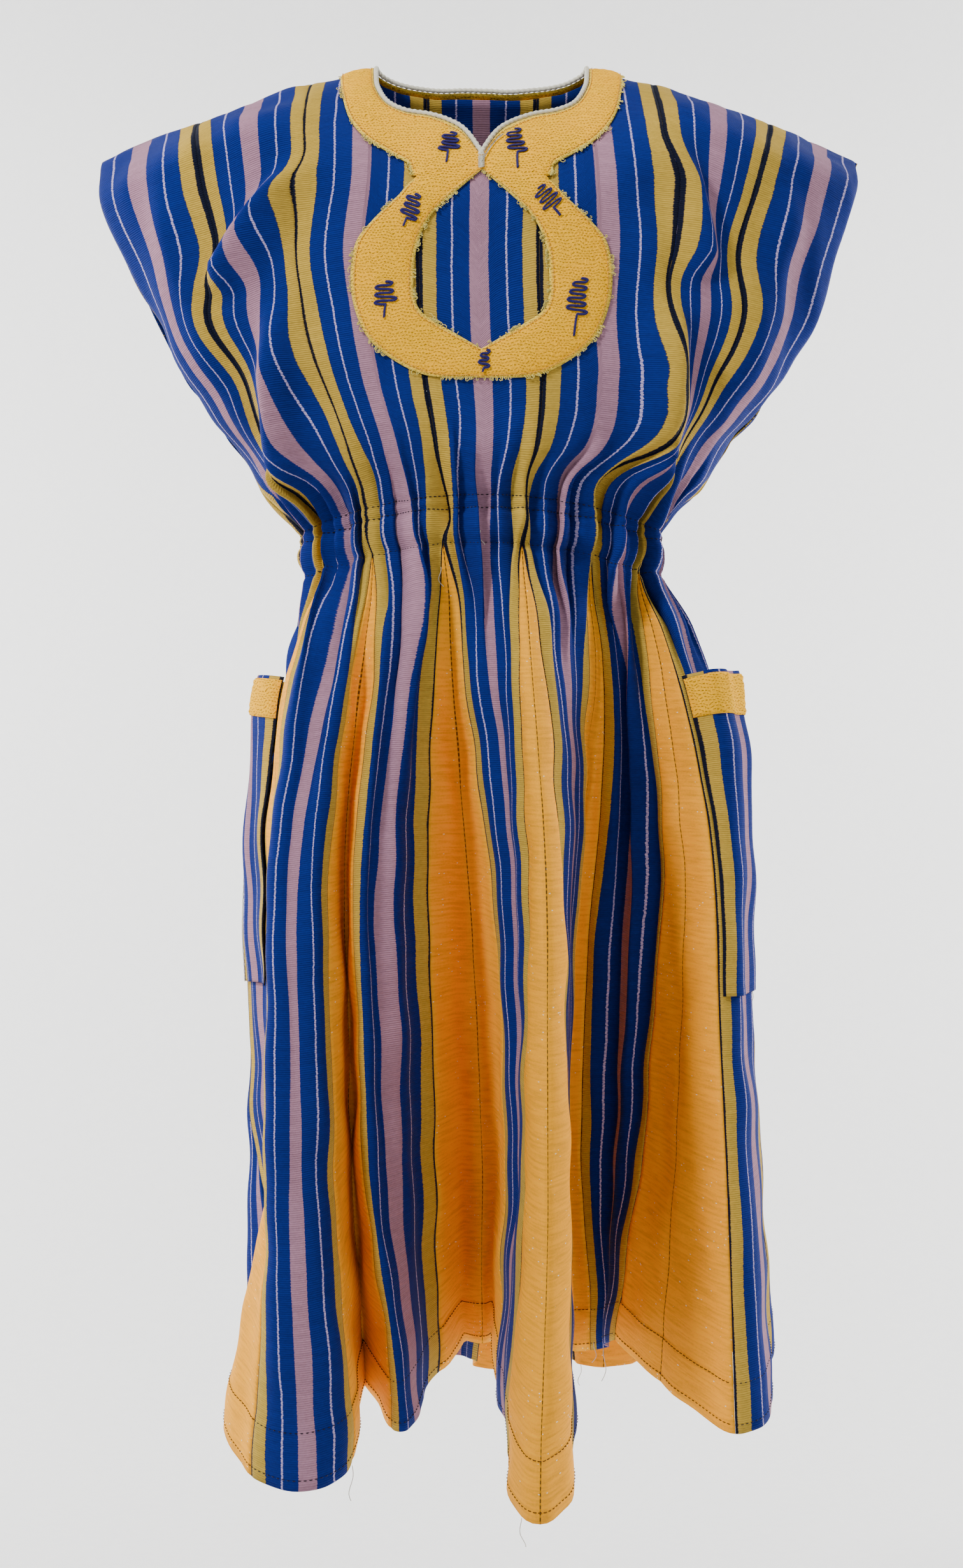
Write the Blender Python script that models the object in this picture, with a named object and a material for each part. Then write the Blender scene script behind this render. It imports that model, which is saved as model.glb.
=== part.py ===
"""A fugu dress: hand-woven strips sewn edge to edge, gathered on elastic at the waist, with
flared godets let into the seams of the skirt, a quilted collar applique and two side pockets.

Metres, +Z up. The front faces -Y and +X is on the right of someone who looks at the front.
The origin lies between the shoulder points, where the wearer carries the dress."""

import math

import bmesh
import bpy
import numpy as np

# Cut sizes of the cloth
STRIP = 0.098          # a woven strip between its two seams
STRIPS = 7             # strips across the front, and again across the back
GODET = 0.200          # an inserted godet along the hem
WALL = 0.0018          # thickness of the sewn cloth
GAP = 0.0003           # room left between pieces that are sewn together

# Heights on the body, down from the shoulder point
WAIST_Z = -0.392
WAIST_SIDE_DROP = 0.022
HEM_Z = -1.100
HEM_SWING = 0.34       # how much lower the hem hangs for each metre that a fold swings outwards
HEM_SWING_FROM = 0.02
UNDERARM_Z = -0.352

# Half sizes of the figure's rings
WAIST_HALF_WIDTH = 0.150
WAIST_HALF_DEPTH = 0.108
CHEST_DEPTH = {"front": 0.121, "back": 0.103}
SLEEVE_HALF_OPENING = 0.038

# Gathers on the elastic: each strip is drawn up in this many half waves
GATHER_HALF_WAVES = 7
GATHER_DEPTH = 0.0044
GATHER_REACH_UP = 0.085
GATHER_REACH_DOWN = 0.105

GODET_TOP = 0.070      # where a godet starts, as a share of the skirt's length
GODET_FIRST = 0.100    # where it is wide enough to hold a piece of cloth

GODET_NARROW = (0.020, 0.060)   # over these widths a godet's wall comes to follow its own fold

# The shoulder line, from the neck point to the tip of the sleeve
SHOULDER = [
    # x, z
    (0.000, 0.004),
    (0.060, 0.003),
    (0.092, 0.000),
    (0.145, -0.011),
    (0.245, -0.046),
    (0.327, -0.077),
    (0.360, -0.090),
]

# The front neckline: a shallow scoop with a V cut down from it
NECK_FRONT = [
    # x, z
    (0.000, -0.1020),
    (0.006, -0.0900),
    (0.014, -0.0790),
    (0.026, -0.0690),
    (0.044, -0.0610),
    (0.066, -0.0560),
    (0.081, -0.0460),
    (0.090, -0.0270),
    (0.0925, 0.0000),
]
NECK_BACK = [
    (0.000, -0.0130),
    (0.040, -0.0125),
    (0.070, -0.0095),
    (0.086, -0.0050),
    (0.0925, 0.0000),
]
NECK_HALF_WIDTH = 0.0925

# Where each seam of the front runs, looking straight at it. Seam -3.5 is the left edge.
SEAM_LEVELS = (-0.060, -0.120, -0.175, -0.230, -0.285, -0.335)
FRONT_SEAMS = [
    # seam, x at each level
    (-3.5, (-0.328, -0.324, -0.302, -0.272, -0.239, -0.205)),
    (-2.5, (-0.239, -0.231, -0.217, -0.222, -0.194, -0.178)),
    (-1.5, (-0.146, -0.144, -0.152, -0.144, -0.129, -0.110)),
    (-0.5, (-0.049, -0.050, -0.051, -0.050, -0.046, -0.038)),
    (0.5, (0.047, 0.048, 0.047, 0.048, 0.050, 0.045)),
    (1.5, (0.148, 0.152, 0.155, 0.150, 0.150, 0.137)),
    (2.5, (0.242, 0.226, 0.210, 0.211, 0.191, 0.166)),
    (3.5, (0.325, 0.316, 0.299, 0.280, 0.247, 0.206)),
]

# The same seams on the shoulder line, and where the bodice blouses over the elastic
SEAM_STEPS = (0.5, 1.5, 2.5, 3.5)
SHOULDER_SEAMS = (0.048, 0.146, 0.243, 0.327)
BLOUSED_SEAMS = (0.036, 0.100, 0.152, 0.186)
BLOUSE_Z = -0.366
BLOUSE_REACH = 0.055
NECK_TURN = 0.0035     # how far below the neckline the strips end, under the collar

# Folds that stand out of the bodice: a soft ridge along a line from its top to its foot
BODICE_FOLDS = [
    # side, x and z at the top, x and z at the foot, height, half width
    ("front", -0.150, -0.115, -0.208, -0.205, 0.013, 0.016),
    ("front", -0.163, -0.240, -0.150, -0.385, 0.016, 0.017),
    ("front", 0.158, -0.100, 0.178, -0.195, 0.010, 0.015),
    ("front", 0.152, -0.235, 0.136, -0.385, 0.018, 0.016),
    ("front", -0.262, -0.130, -0.222, -0.300, 0.007, 0.020),
    ("front", 0.256, -0.120, 0.214, -0.290, 0.008, 0.020),
    ("back", -0.170, -0.090, -0.150, -0.385, 0.014, 0.020),
    ("back", 0.164, -0.110, 0.140, -0.385, 0.015, 0.019),
    ("back", -0.248, -0.120, -0.206, -0.300, 0.008, 0.022),
    ("back", 0.252, -0.110, 0.212, -0.310, 0.008, 0.021),
    ("back", 0.030, -0.210, 0.012, -0.390, 0.006, 0.018),
    ("back", -0.070, -0.240, -0.052, -0.390, 0.006, 0.016),
]

# The skirt's folds where they reach the hem. A panel takes one step of the position: strips
# and godets alternate, 13 panels from the left side round the front, then 13 round the back.
HEM_FOLDS = [
    # position, x, y
    (0.0, -0.155, 0.020),
    (1.0, -0.185, -0.045),
    (1.5, -0.212, -0.120),
    (2.0, -0.180, -0.188),
    (2.3, -0.152, -0.207),
    (3.0, -0.100, -0.168),
    (3.5, -0.098, -0.064),
    (4.0, -0.070, -0.126),
    (5.0, -0.034, -0.048),
    (5.5, 0.000, 0.030),
    (6.0, 0.012, -0.065),
    (7.0, 0.019, -0.165),
    (7.3, 0.024, -0.224),
    (7.5, 0.044, -0.247),
    (7.7, 0.066, -0.224),
    (8.0, 0.071, -0.165),
    (9.0, 0.076, -0.070),
    (9.5, 0.074, 0.030),
    (9.8, 0.084, 0.090),
    (10.0, 0.100, 0.082),
    (11.0, 0.114, 0.000),
    (11.5, 0.147, -0.062),
    (12.0, 0.205, -0.134),
    (12.2, 0.222, -0.127),
    (13.0, 0.245, -0.045),
    (14.0, 0.240, 0.050),
    (14.5, 0.210, 0.142),
    (15.0, 0.166, 0.070),
    (16.0, 0.150, 0.155),
    (16.3, 0.139, 0.212),
    (16.5, 0.117, 0.234),
    (16.7, 0.096, 0.215),
    (17.0, 0.086, 0.170),
    (17.5, 0.060, 0.125),
    (18.0, 0.042, 0.182),
    (18.3, 0.040, 0.238),
    (18.5, 0.020, 0.262),
    (18.7, -0.002, 0.238),
    (19.0, -0.005, 0.182),
    (19.5, -0.022, 0.125),
    (20.0, -0.037, 0.165),
    (20.3, -0.040, 0.222),
    (20.5, -0.060, 0.245),
    (20.7, -0.081, 0.224),
    (21.0, -0.083, 0.175),
    (21.8, -0.094, 0.095),
    (22.0, -0.106, 0.102),
    (22.3, -0.106, 0.172),
    (22.5, -0.125, 0.202),
    (22.75, -0.146, 0.186),
    (23.0, -0.148, 0.150),
    (24.0, -0.138, 0.082),
    (24.5, -0.190, 0.156),
    (25.0, -0.210, 0.075),
]

# The skirt's mean ring under its folds
SKIRT_RINGS = [
    # share of the skirt's length, half width, half depth
    (0.00, 0.150, 0.108),
    (0.04, 0.149, 0.108),
    (0.10, 0.166, 0.124),
    (0.18, 0.180, 0.140),
    (0.32, 0.196, 0.150),
    (0.60, 0.200, 0.156),
    (1.00, 0.205, 0.160),
]
FOLD_GROWTH = 0.52

# Rows of the walls, from the shoulder or neckline down to the waist, then from there to the hem
BODICE_ROWS = (0.0, 0.045, 0.12, 0.23, 0.36, 0.49, 0.62, 0.75, 0.87, 1.0)
SKIRT_ROWS = (0.0, 0.035, GODET_TOP, GODET_FIRST, 0.14, 0.20, 0.29, 0.42, 0.60, 0.80, 1.0)
STRIP_COLUMNS = GATHER_HALF_WAVES
GODET_COLUMNS = 6

# Colours of the finishes, linear
COLOURS = {
    "blue stripe cloth": (0.010, 0.060, 0.400, 1.0),
    "orange godet cloth": (0.800, 0.330, 0.050, 1.0),
    "yellow quilted cloth": (0.880, 0.520, 0.120, 1.0),
    "cream binding": (0.800, 0.780, 0.660, 1.0),
}


def through(knots, values, at):
    """A smooth curve through the values at the knots, read at the places given."""
    knots = np.asarray(knots, float)
    values = np.asarray(values, float)
    at = np.asarray(at, float)
    slopes = np.gradient(values, knots, axis=0)
    low = np.clip(np.searchsorted(knots, at, side="right") - 1, 0, len(knots) - 2)
    span = knots[low + 1] - knots[low]
    part = np.clip((at - knots[low]) / span, 0.0, 1.0)
    if values.ndim > 1:
        part = part[..., None]
        span = span[..., None]
    square = part * part
    cube = square * part
    return (
        (2 * cube - 3 * square + 1) * values[low]
        + (cube - 2 * square + part) * span * slopes[low]
        + (3 * square - 2 * cube) * values[low + 1]
        + (cube - square) * span * slopes[low + 1]
    )


def ease(low, high, at):
    """0 below low, 1 above high, with a soft change between them."""
    part = np.clip((np.asarray(at, float) - low) / (high - low), 0.0, 1.0)
    return part * part * (3 - 2 * part)


def shoulder_z(x):
    knots, heights = zip(*SHOULDER)
    return through(knots, heights, np.abs(x))


def neck_z(x, side):
    knots, heights = zip(*(NECK_FRONT if side == "front" else NECK_BACK))
    return np.interp(np.abs(x), knots, heights)


def waist_z(angle):
    """Height of the gathered waist at an angle round the ring; it dips at the sides."""
    return WAIST_Z - WAIST_SIDE_DROP * np.cos(angle) ** 2


def seam_x(seam, z, side):
    """Sideways place of a cloth position, counted in strips from the middle, at a height."""
    knots = np.array([row[0] for row in FRONT_SEAMS])
    tracks = np.array([row[1] for row in FRONT_SEAMS])[:, ::-1]
    far = np.abs(knots)
    top = np.sign(knots) * np.interp(far, SEAM_STEPS, SHOULDER_SEAMS)
    blouse = np.sign(knots) * np.interp(far, SEAM_STEPS, BLOUSED_SEAMS)
    foot = -WAIST_HALF_WIDTH * np.cos(math.pi * (knots + 3.5) / STRIPS)
    columns = np.column_stack((foot, blouse, tracks, top))
    if side == "back":
        columns = 0.5 * (columns - columns[::-1])
    levels = (WAIST_Z - 0.012, BLOUSE_Z) + SEAM_LEVELS[::-1] + (0.0,)
    seam, z = np.broadcast_arrays(np.asarray(seam, float), np.asarray(z, float))
    weights = through(knots, np.eye(len(knots)), seam)
    return (weights * through(levels, columns.T, z)).sum(-1)


def bodice_depth(x, z, side):
    """How far the front lies before the shoulder line, or the back behind it."""
    x, z = np.broadcast_arrays(np.asarray(x, float), np.asarray(z, float))
    edge = np.where(x < 0, -seam_x(-3.5, z, side), seam_x(3.5, z, side))
    opening = SLEEVE_HALF_OPENING * ease(UNDERARM_Z, UNDERARM_Z + 0.10, z)
    low = ease(-0.400, -0.320, z)
    depth = WAIST_HALF_DEPTH + (CHEST_DEPTH[side] - WAIST_HALF_DEPTH) * low
    across = np.clip(np.abs(x) / edge, 0.0, 1.0)
    round_off = (1 - across ** (2.0 + 0.7 * low)) ** (0.5 + 0.12 * low)
    reach = 0.055 + 0.105 * (1 - ease(0.05, 0.21, np.abs(x)))
    turn = np.sin(0.5 * math.pi * np.clip((shoulder_z(x) - z) / reach, 0.0, 1.0)) ** 0.8
    depth = (opening + (depth - opening) * round_off) * turn
    for name, top_x, top_z, foot_x, foot_z, height, width in BODICE_FOLDS:
        if name != side:
            continue
        along = (z - top_z) / (foot_z - top_z)
        line = top_x + (foot_x - top_x) * np.clip(along, 0.0, 1.0)
        strength = ease(-0.25, 0.25, along) * (1 - ease(0.85, 1.15, along))
        depth = depth + height * strength * np.exp(-(((x - line) / width) ** 2)) * turn
    return depth


def gather(side, index, fraction, row, strength):
    """The zigzag of a strip's gathers, positive outwards. It runs on over a seam as long as the
    seam is closed, and leaves the seam free where a godet opens."""
    count = index if side == "front" else index + STRIPS
    wave = (-1) ** count * np.cos(math.pi * GATHER_HALF_WAVES * fraction)
    beside_seam = 1 - ease(0.0, 1 / GATHER_HALF_WAVES, np.minimum(fraction, 1 - fraction))
    free = beside_seam * ease(1.0, 1 + GODET_TOP, row)
    return GATHER_DEPTH * strength * wave * (1 - free)


def bodice(side, fraction, strip, row):
    """Points of one strip between the shoulder and the waist; row runs from 0 to 1."""
    fraction, row = np.broadcast_arrays(np.asarray(fraction, float), np.asarray(row, float))
    outward = -1.0 if side == "front" else 1.0
    seam = -outward * (-3.5 + strip + fraction)
    angle = math.pi * (strip + fraction) / STRIPS
    foot = waist_z(angle)
    far = np.abs(seam)
    start = np.interp(far, (0.0,) + SEAM_STEPS, (0.0,) + SHOULDER_SEAMS)
    cut = neck_z(start, side) - NECK_TURN
    z = np.where(start < NECK_HALF_WIDTH, cut, shoulder_z(start))
    z = z + (foot - z) * row
    x = seam_x(seam, z, side)
    y = outward * (bodice_depth(x, z, side) + GAP / 2)
    ring_x = outward * np.cos(angle) * WAIST_HALF_WIDTH
    ring_y = outward * np.sin(angle) * WAIST_HALF_DEPTH
    drawn_in = 1 - ease(foot, foot + BLOUSE_REACH, z)
    x = x + (ring_x - x) * drawn_in
    y = y + (ring_y - y) * drawn_in
    return np.stack((x, y, z), -1), 1 - ease(foot, foot + GATHER_REACH_UP, z)


def godet_width(down):
    """Width of a godet at a share of the skirt's length."""
    return GODET * np.clip((down - GODET_TOP) / (1 - GODET_TOP), 0.0, 1.0)


def ring_angle(position, down):
    """Angle round the skirt's mean ring of a panel position, from the cloth before it."""
    half = np.floor(position / 13.0)
    inside = position - 13.0 * half
    panel = np.floor(inside)
    part = inside - panel
    width = godet_width(down)
    before = np.ceil(panel / 2) * STRIP + np.floor(panel / 2) * width
    before = before + part * np.where(panel % 2 == 0, STRIP, width)
    return math.pi * (half + before / (STRIPS * STRIP + (STRIPS - 1) * width))


def mean_ring(position, down):
    shares, widths, depths = zip(*SKIRT_RINGS)
    angle = ring_angle(position, down)
    x = -through(shares, widths, down) * np.cos(angle)
    y = -through(shares, depths, down) * np.sin(angle)
    return np.stack((x, y), -1)


def hem_ring(position):
    """The folded ring of the hem, a closed smooth curve through the table's folds."""
    rows = [(p - 26, x, y) for p, x, y in HEM_FOLDS[-3:]]
    rows += HEM_FOLDS
    rows += [(p + 26, x, y) for p, x, y in HEM_FOLDS[:3]]
    table = np.array(rows)
    return through(table[:, 0], table[:, 1:], np.mod(position, 26.0))


def hem_fold(position):
    """How far the hem's folds carry a panel position from the mean ring."""
    return hem_ring(position) - mean_ring(position, np.ones_like(position))


def seam_fold(seam, growth, opened):
    """The same for a seam at a height. The two seams of a godet leave the waist as one and
    part as the godet opens."""
    inside = np.mod(seam, 13.0)
    partner = seam + np.where(inside == 0, 0.0, np.where(inside % 2 == 1, 1.0, -1.0))
    own, other = hem_fold(seam), hem_fold(partner)
    shared = 0.5 * (own + other)
    return shared * growth[..., None] + (own - shared) * opened[..., None]


def skirt(position, down):
    """Points of the skirt at a panel position and a share of its length. Inside a godet the
    fold only grows as fast as the godet widens."""
    position, down = np.broadcast_arrays(np.asarray(position, float), np.asarray(down, float))
    growth = np.clip((down - 0.02) / 0.98, 0.0, 1.0) ** FOLD_GROWTH * ease(0.0, 0.10, down)
    opened = godet_width(down) / GODET
    start = np.floor(position)
    part = (position - start)[..., None]
    full = np.ones_like(down)
    straight = seam_fold(start, growth, opened) * (1 - part) + seam_fold(start + 1, growth, opened) * part
    hem_straight = seam_fold(start, full, full) * (1 - part) + seam_fold(start + 1, full, full) * part
    own = np.where(np.mod(start, 13.0) % 2 == 1, opened * ease(0.0, 0.4, opened), growth)
    flat = mean_ring(position, down) + straight + (hem_fold(position) - hem_straight) * own[..., None]
    swing = HEM_SWING * (np.abs(hem_ring(position)[..., 1]) - HEM_SWING_FROM)
    waist = waist_z(ring_angle(position, down * 0.0))
    z = waist + (HEM_Z - waist) * down - swing * down**3
    strength = 1 - ease(0.04, 0.04 + GATHER_REACH_DOWN / 0.7, down)
    return np.concatenate((flat, z[..., None]), -1), strength


def surface(side, kind, index, fraction, row):
    """One point or many on the dress, before the gathers. Rows run 0 to 1 down the bodice and
    1 to 2 down the skirt."""
    row = np.asarray(row, float)
    fraction = np.asarray(fraction, float)
    start = 0 if side == "front" else 13
    position = start + (2 * index if kind == "strip" else 2 * index + 1) + fraction
    if kind == "strip":
        joined = (row <= 1 + GODET_TOP) & (index + fraction > 0) & (index + fraction < STRIPS)
        position = position + np.where(joined, np.floor(np.clip(fraction, -0.5, 1.5) - 1e-12 * (fraction == 1)), 0)
    lower, lower_strength = skirt(position, np.clip(row - 1, 0.0, 1.0))
    if kind == "godet":
        return lower, lower_strength
    upper, upper_strength = bodice(side, fraction, index, np.clip(row, 0.0, 1.0))
    below = row > 1
    points = np.where(below[..., None], lower, upper)
    return points, np.where(below, lower_strength, upper_strength)


def outward_normals(side, kind, index, fraction, row):
    step = 0.004
    across = (
        surface(side, kind, index, fraction + step, row)[0]
        - surface(side, kind, index, fraction - step, row)[0]
    )
    low = np.maximum(row - step, 1.0 + GODET_TOP if kind == "godet" else 0.0)
    high = np.minimum(row + step, np.where(row > 1 + GODET_TOP, 2.0, 1 + GODET_TOP))
    down = (
        surface(side, kind, index, fraction, high)[0]
        - surface(side, kind, index, fraction, low)[0]
    )
    normal = np.cross(down, across)
    on_ridge = (row < step) & (np.abs(surface(side, kind, index, fraction, row)[0][..., 1]) < GAP)
    normal[..., 1] = np.where(on_ridge, 0.0, normal[..., 1])
    return normal / np.linalg.norm(normal, axis=-1, keepdims=True)


# The collar applique looked at from the front: its edge at the neckline and its outer edge
COLLAR_BAND = [
    # inner x, inner z, outer x, outer z
    (0.0000, -0.1020, 0.0000, -0.1068),
    (0.0140, -0.0790, 0.0270, -0.1120),
    (0.0260, -0.0690, 0.0540, -0.1190),
    (0.0440, -0.0610, 0.0600, -0.1080),
    (0.0660, -0.0560, 0.0750, -0.0985),
    (0.0810, -0.0460, 0.0950, -0.0850),
    (0.0900, -0.0270, 0.1100, -0.0640),
    (0.0923, -0.0080, 0.1175, -0.0340),
    (0.0925, -0.0020, 0.1200, -0.0130),
    (0.0925, 0.0000, 0.1205, -0.0055),
]
# The pear-shaped loop that hangs from it on the chest: its outer and its inner edge
COLLAR_LOOP = [
    # outer x, outer z, inner x, inner z
    (0.0000, -0.1092, 0.0000, -0.1132),
    (0.0270, -0.1146, 0.0125, -0.1245),
    (0.0540, -0.1215, 0.0300, -0.1405),
    (0.0690, -0.1370, 0.0390, -0.1495),
    (0.0880, -0.1550, 0.0470, -0.1620),
    (0.1020, -0.1730, 0.0530, -0.1800),
    (0.1065, -0.1980, 0.0550, -0.2010),
    (0.1040, -0.2240, 0.0545, -0.2180),
    (0.0930, -0.2500, 0.0490, -0.2300),
    (0.0720, -0.2690, 0.0370, -0.2385),
    (0.0420, -0.2825, 0.0200, -0.2485),
    (0.0000, -0.2840, 0.0000, -0.2603),
]
COLLAR_BACK = [
    # inner x, inner z, outer x, outer z
    (0.0000, -0.0130, 0.0000, -0.0560),
    (0.0400, -0.0125, 0.0500, -0.0530),
    (0.0700, -0.0095, 0.0860, -0.0430),
    (0.0860, -0.0050, 0.1080, -0.0270),
    (0.0915, -0.0015, 0.1180, -0.0120),
    (0.0925, 0.0000, 0.1205, -0.0055),
]
COLLAR_CLEAR = 0.0012
COLLAR_THICK = 0.0022
BINDING_RADIUS = 0.0019

# The side pockets, as shares of the skirt's length
POCKET_ROWS = (0.17, 0.20, 0.22, 0.29, 0.36, 0.42, 0.54)
POCKET_BAND_ROWS = 3
POCKET_COLUMNS = (0.045, 0.14, 0.30, 0.50, 0.70, 0.86, 0.955)
POCKET_CLEAR = 0.0014
POCKET_GAPE = 0.028


def front_point(x, z, side):
    """A point on the bodice from its place seen from the front, with the way out of the cloth."""
    step = 0.0004
    outward = -1.0 if side == "front" else 1.0
    z = np.minimum(z, shoulder_z(x))
    low = np.minimum(z, shoulder_z(x) - step)
    slope_x = (bodice_depth(x + step, low, side) - bodice_depth(x - step, low, side)) / (2 * step)
    slope_z = (bodice_depth(x, low, side) - bodice_depth(x, low - step, side)) / step
    normal = np.stack((-slope_x, np.full_like(x, outward), -slope_z), -1)
    point = np.stack((x, outward * bodice_depth(x, z, side), z), -1)
    return point, normal / np.linalg.norm(normal, axis=-1, keepdims=True)


def split(a, b, c, d):
    """A four-sided face as two triangles, always along the same diagonal."""
    return [(a, b, c), (a, c, d)]


def grid_faces(rows, columns):
    """Faces of a grid whose points are listed row by row, seen from outside."""
    faces = []
    for start in range((rows - 1) * columns):
        if start % columns < columns - 1:
            faces += split(start, start + columns, start + columns + 1, start + 1)
    return faces


def finish_material(name):
    found = bpy.data.materials.get(name)
    if found:
        return found
    material = bpy.data.materials.new(name)
    material.use_nodes = True
    shader = material.node_tree.nodes["Principled BSDF"]
    shader.inputs["Base Color"].default_value = COLOURS[name]
    shader.inputs["Roughness"].default_value = 0.85
    shader.inputs["Metallic"].default_value = 0.0
    return material


def add_wall(name, outer, inner, faces, finish, collection):
    """A wall of cloth between an outer and an inner layer of the same points, closed at its edges.
    Each edge face is split from its higher outer point, so that two pieces match along a seam."""
    count = len(outer)
    borders = {}
    for face in faces:
        for start, end in zip(face, face[1:] + face[:1]):
            if borders.pop((end, start), None) is None:
                borders[(start, end)] = True
    shell = [face[::-1] for face in faces]
    shell = list(faces) + [tuple(i + count for i in face) for face in shell]
    for start, end in borders:
        if outer[start][2] > outer[end][2]:
            shell += split(start, start + count, end + count, end)
        else:
            shell += split(end, start, start + count, end + count)
    mesh = bpy.data.meshes.new(name)
    mesh.from_pydata([tuple(p) for p in np.concatenate((outer, inner))], [], shell)
    work = bmesh.new()
    work.from_mesh(mesh)
    bmesh.ops.recalc_face_normals(work, faces=work.faces)
    work.to_mesh(mesh)
    work.free()
    mesh.shade_smooth()
    mesh.materials.append(finish_material(finish))
    wall = bpy.data.objects.new(name, mesh)
    collection.objects.link(wall)
    return wall


def panel(name, side, kind, index, columns, rows, finish, collection, inset=GAP):
    """One strip or godet: a wall over its part of the dress, with the gathers at the waist."""
    down = np.array(rows)[:, None]
    width = np.full_like(down, STRIP) if kind == "strip" else godet_width(down - 1)
    shrink = np.clip(inset / width, 0.0, 0.2)
    whole = np.linspace(0, 1, columns + 1)[None, :] + 0 * down
    down = down + 0 * whole
    points, strength = surface(side, kind, index, shrink + (1 - 2 * shrink) * whole, down)
    normal = outward_normals(side, kind, index, whole, down)
    if kind == "strip":
        points = points + normal * gather(side, index, whole, down, strength)[..., None]
    else:
        ends = [outward_normals(side, kind, index, 0 * whole + end, down) for end in (0, 1)]
        level = ends[0] * (1 - whole[..., None]) + ends[1] * whole[..., None]
        wide = ease(*GODET_NARROW, godet_width(down - 1))[..., None]
        normal = level * (1 - wide) + normal * wide
        normal /= np.linalg.norm(normal, axis=-1, keepdims=True)
    outer = points
    inner = outer - normal * WALL
    faces = grid_faces(len(rows), columns + 1)
    return add_wall(name, outer.reshape(-1, 3), inner.reshape(-1, 3), faces, finish, collection)


def stations(table, times):
    """Rows of an edge table, with points worked out between them."""
    table = np.array(table)
    places = np.linspace(0, len(table) - 1, (len(table) - 1) * times + 1)
    return through(np.arange(len(table)), table, places)


def mirrored(half):
    """Both sides of a half outline that starts in the middle."""
    other = half[:0:-1] * np.array((-1.0, 1.0, -1.0, 1.0))
    return np.concatenate((other, half))


def between(edges, columns):
    """Rows of places from one edge to the other at each station."""
    part = np.linspace(0, 1, columns + 1)[None, :, None]
    return edges[:, None, :2] * (1 - part) + edges[:, None, 2:] * part


def on_bodice(name, grid, closed, side, finish, collection):
    """A piece sewn on the bodice, from a grid of places seen from the front."""
    rows, columns = grid.shape[:2]
    faces = grid_faces(rows, columns)
    if closed:
        last = (rows - 1) * columns
        for i in range(columns - 1):
            faces += split(last + i, i, i + 1, last + i + 1)
    places = grid.reshape(-1, 2)
    point, normal = front_point(places[:, 0], places[:, 1], side)
    inner = point + normal * COLLAR_CLEAR
    outer = inner + normal * COLLAR_THICK
    return add_wall(name, outer, inner, faces, finish, collection)


def collar(collection):
    """The neck band, the loop below it on the chest, and the band behind the neck."""
    finish = "yellow quilted cloth"
    band = between(mirrored(stations(COLLAR_BAND, 2)), 4)
    on_bodice("collar_band", band, False, "front", finish, collection)
    loop = between(mirrored(stations(COLLAR_LOOP, 2))[:-1], 4)
    on_bodice("collar_loop", loop, True, "front", finish, collection)
    back = between(mirrored(stations(COLLAR_BACK, 2)), 3)
    on_bodice("collar_back", back, False, "back", finish, collection)


def neck_binding(collection):
    """A cord sewn round the neckline, inside the edge of the collar."""
    path = []
    for side, table in (("front", COLLAR_BAND), ("back", COLLAR_BACK)):
        edge = mirrored(stations(table, 2))[:, :2]
        if side == "back":
            edge = edge[::-1]
        tangent = np.gradient(edge, axis=0)
        inward = np.stack((-tangent[:, 1], tangent[:, 0]), -1)
        inward /= np.linalg.norm(inward, axis=-1, keepdims=True)
        if side == "back":
            inward = -inward
        point, normal = front_point(edge[:, 0], edge[:, 1], side)
        inside = np.stack((inward[:, 0], 0 * inward[:, 0], inward[:, 1]), -1)
        inside -= normal * (inside * normal).sum(-1, keepdims=True)
        inside /= np.linalg.norm(inside, axis=-1, keepdims=True)
        shift = BINDING_RADIUS + 0.0006
        path.append(point + normal * (COLLAR_CLEAR + COLLAR_THICK / 2) + inside * shift)
    path = np.concatenate((path[0], path[1][1:-1]))
    curve = bpy.data.curves.new("neck_binding", "CURVE")
    curve.dimensions = "3D"
    curve.bevel_depth = BINDING_RADIUS
    curve.bevel_resolution = 1
    spline = curve.splines.new("POLY")
    spline.points.add(len(path) - 1)
    for vertex, place in zip(spline.points, path):
        vertex.co = (*place, 1.0)
    spline.use_cyclic_u = True
    curve.materials.append(finish_material("cream binding"))
    collection.objects.link(bpy.data.objects.new("neck_binding", curve))


def pocket(name, index, collection):
    """A patch pocket on a side strip, sewn at its sides and foot and gaping at the top."""
    down = 1 + np.array(POCKET_ROWS)[:, None]
    fraction = np.array(POCKET_COLUMNS)[None, :] + 0 * down
    down = down + 0 * fraction
    points, strength = surface("front", "strip", index, fraction, down)
    normal = outward_normals("front", "strip", index, fraction, down)
    top, foot = POCKET_ROWS[0], POCKET_ROWS[-1]
    depth = (down - 1 - top) / (foot - top)
    across = (fraction - POCKET_COLUMNS[0]) / (POCKET_COLUMNS[-1] - POCKET_COLUMNS[0])
    gape = POCKET_GAPE * (1 - depth) ** 1.4 * np.sin(math.pi * np.clip(across, 0.0, 1.0)) ** 0.8
    clear = POCKET_CLEAR + GATHER_DEPTH * strength + gape
    inner = points + normal * clear[..., None]
    outer = inner + normal * WALL
    faces = grid_faces(*fraction.shape)
    add_wall(name, outer.reshape(-1, 3), inner.reshape(-1, 3), faces, "blue stripe cloth", collection)
    band = slice(0, POCKET_BAND_ROWS)
    inner = outer[band] + normal[band] * GAP
    outer = inner + normal[band] * WALL
    faces = grid_faces(POCKET_BAND_ROWS, len(POCKET_COLUMNS))
    finish = "yellow quilted cloth"
    add_wall(f"{name}_band", outer.reshape(-1, 3), inner.reshape(-1, 3), faces, finish, collection)


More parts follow.
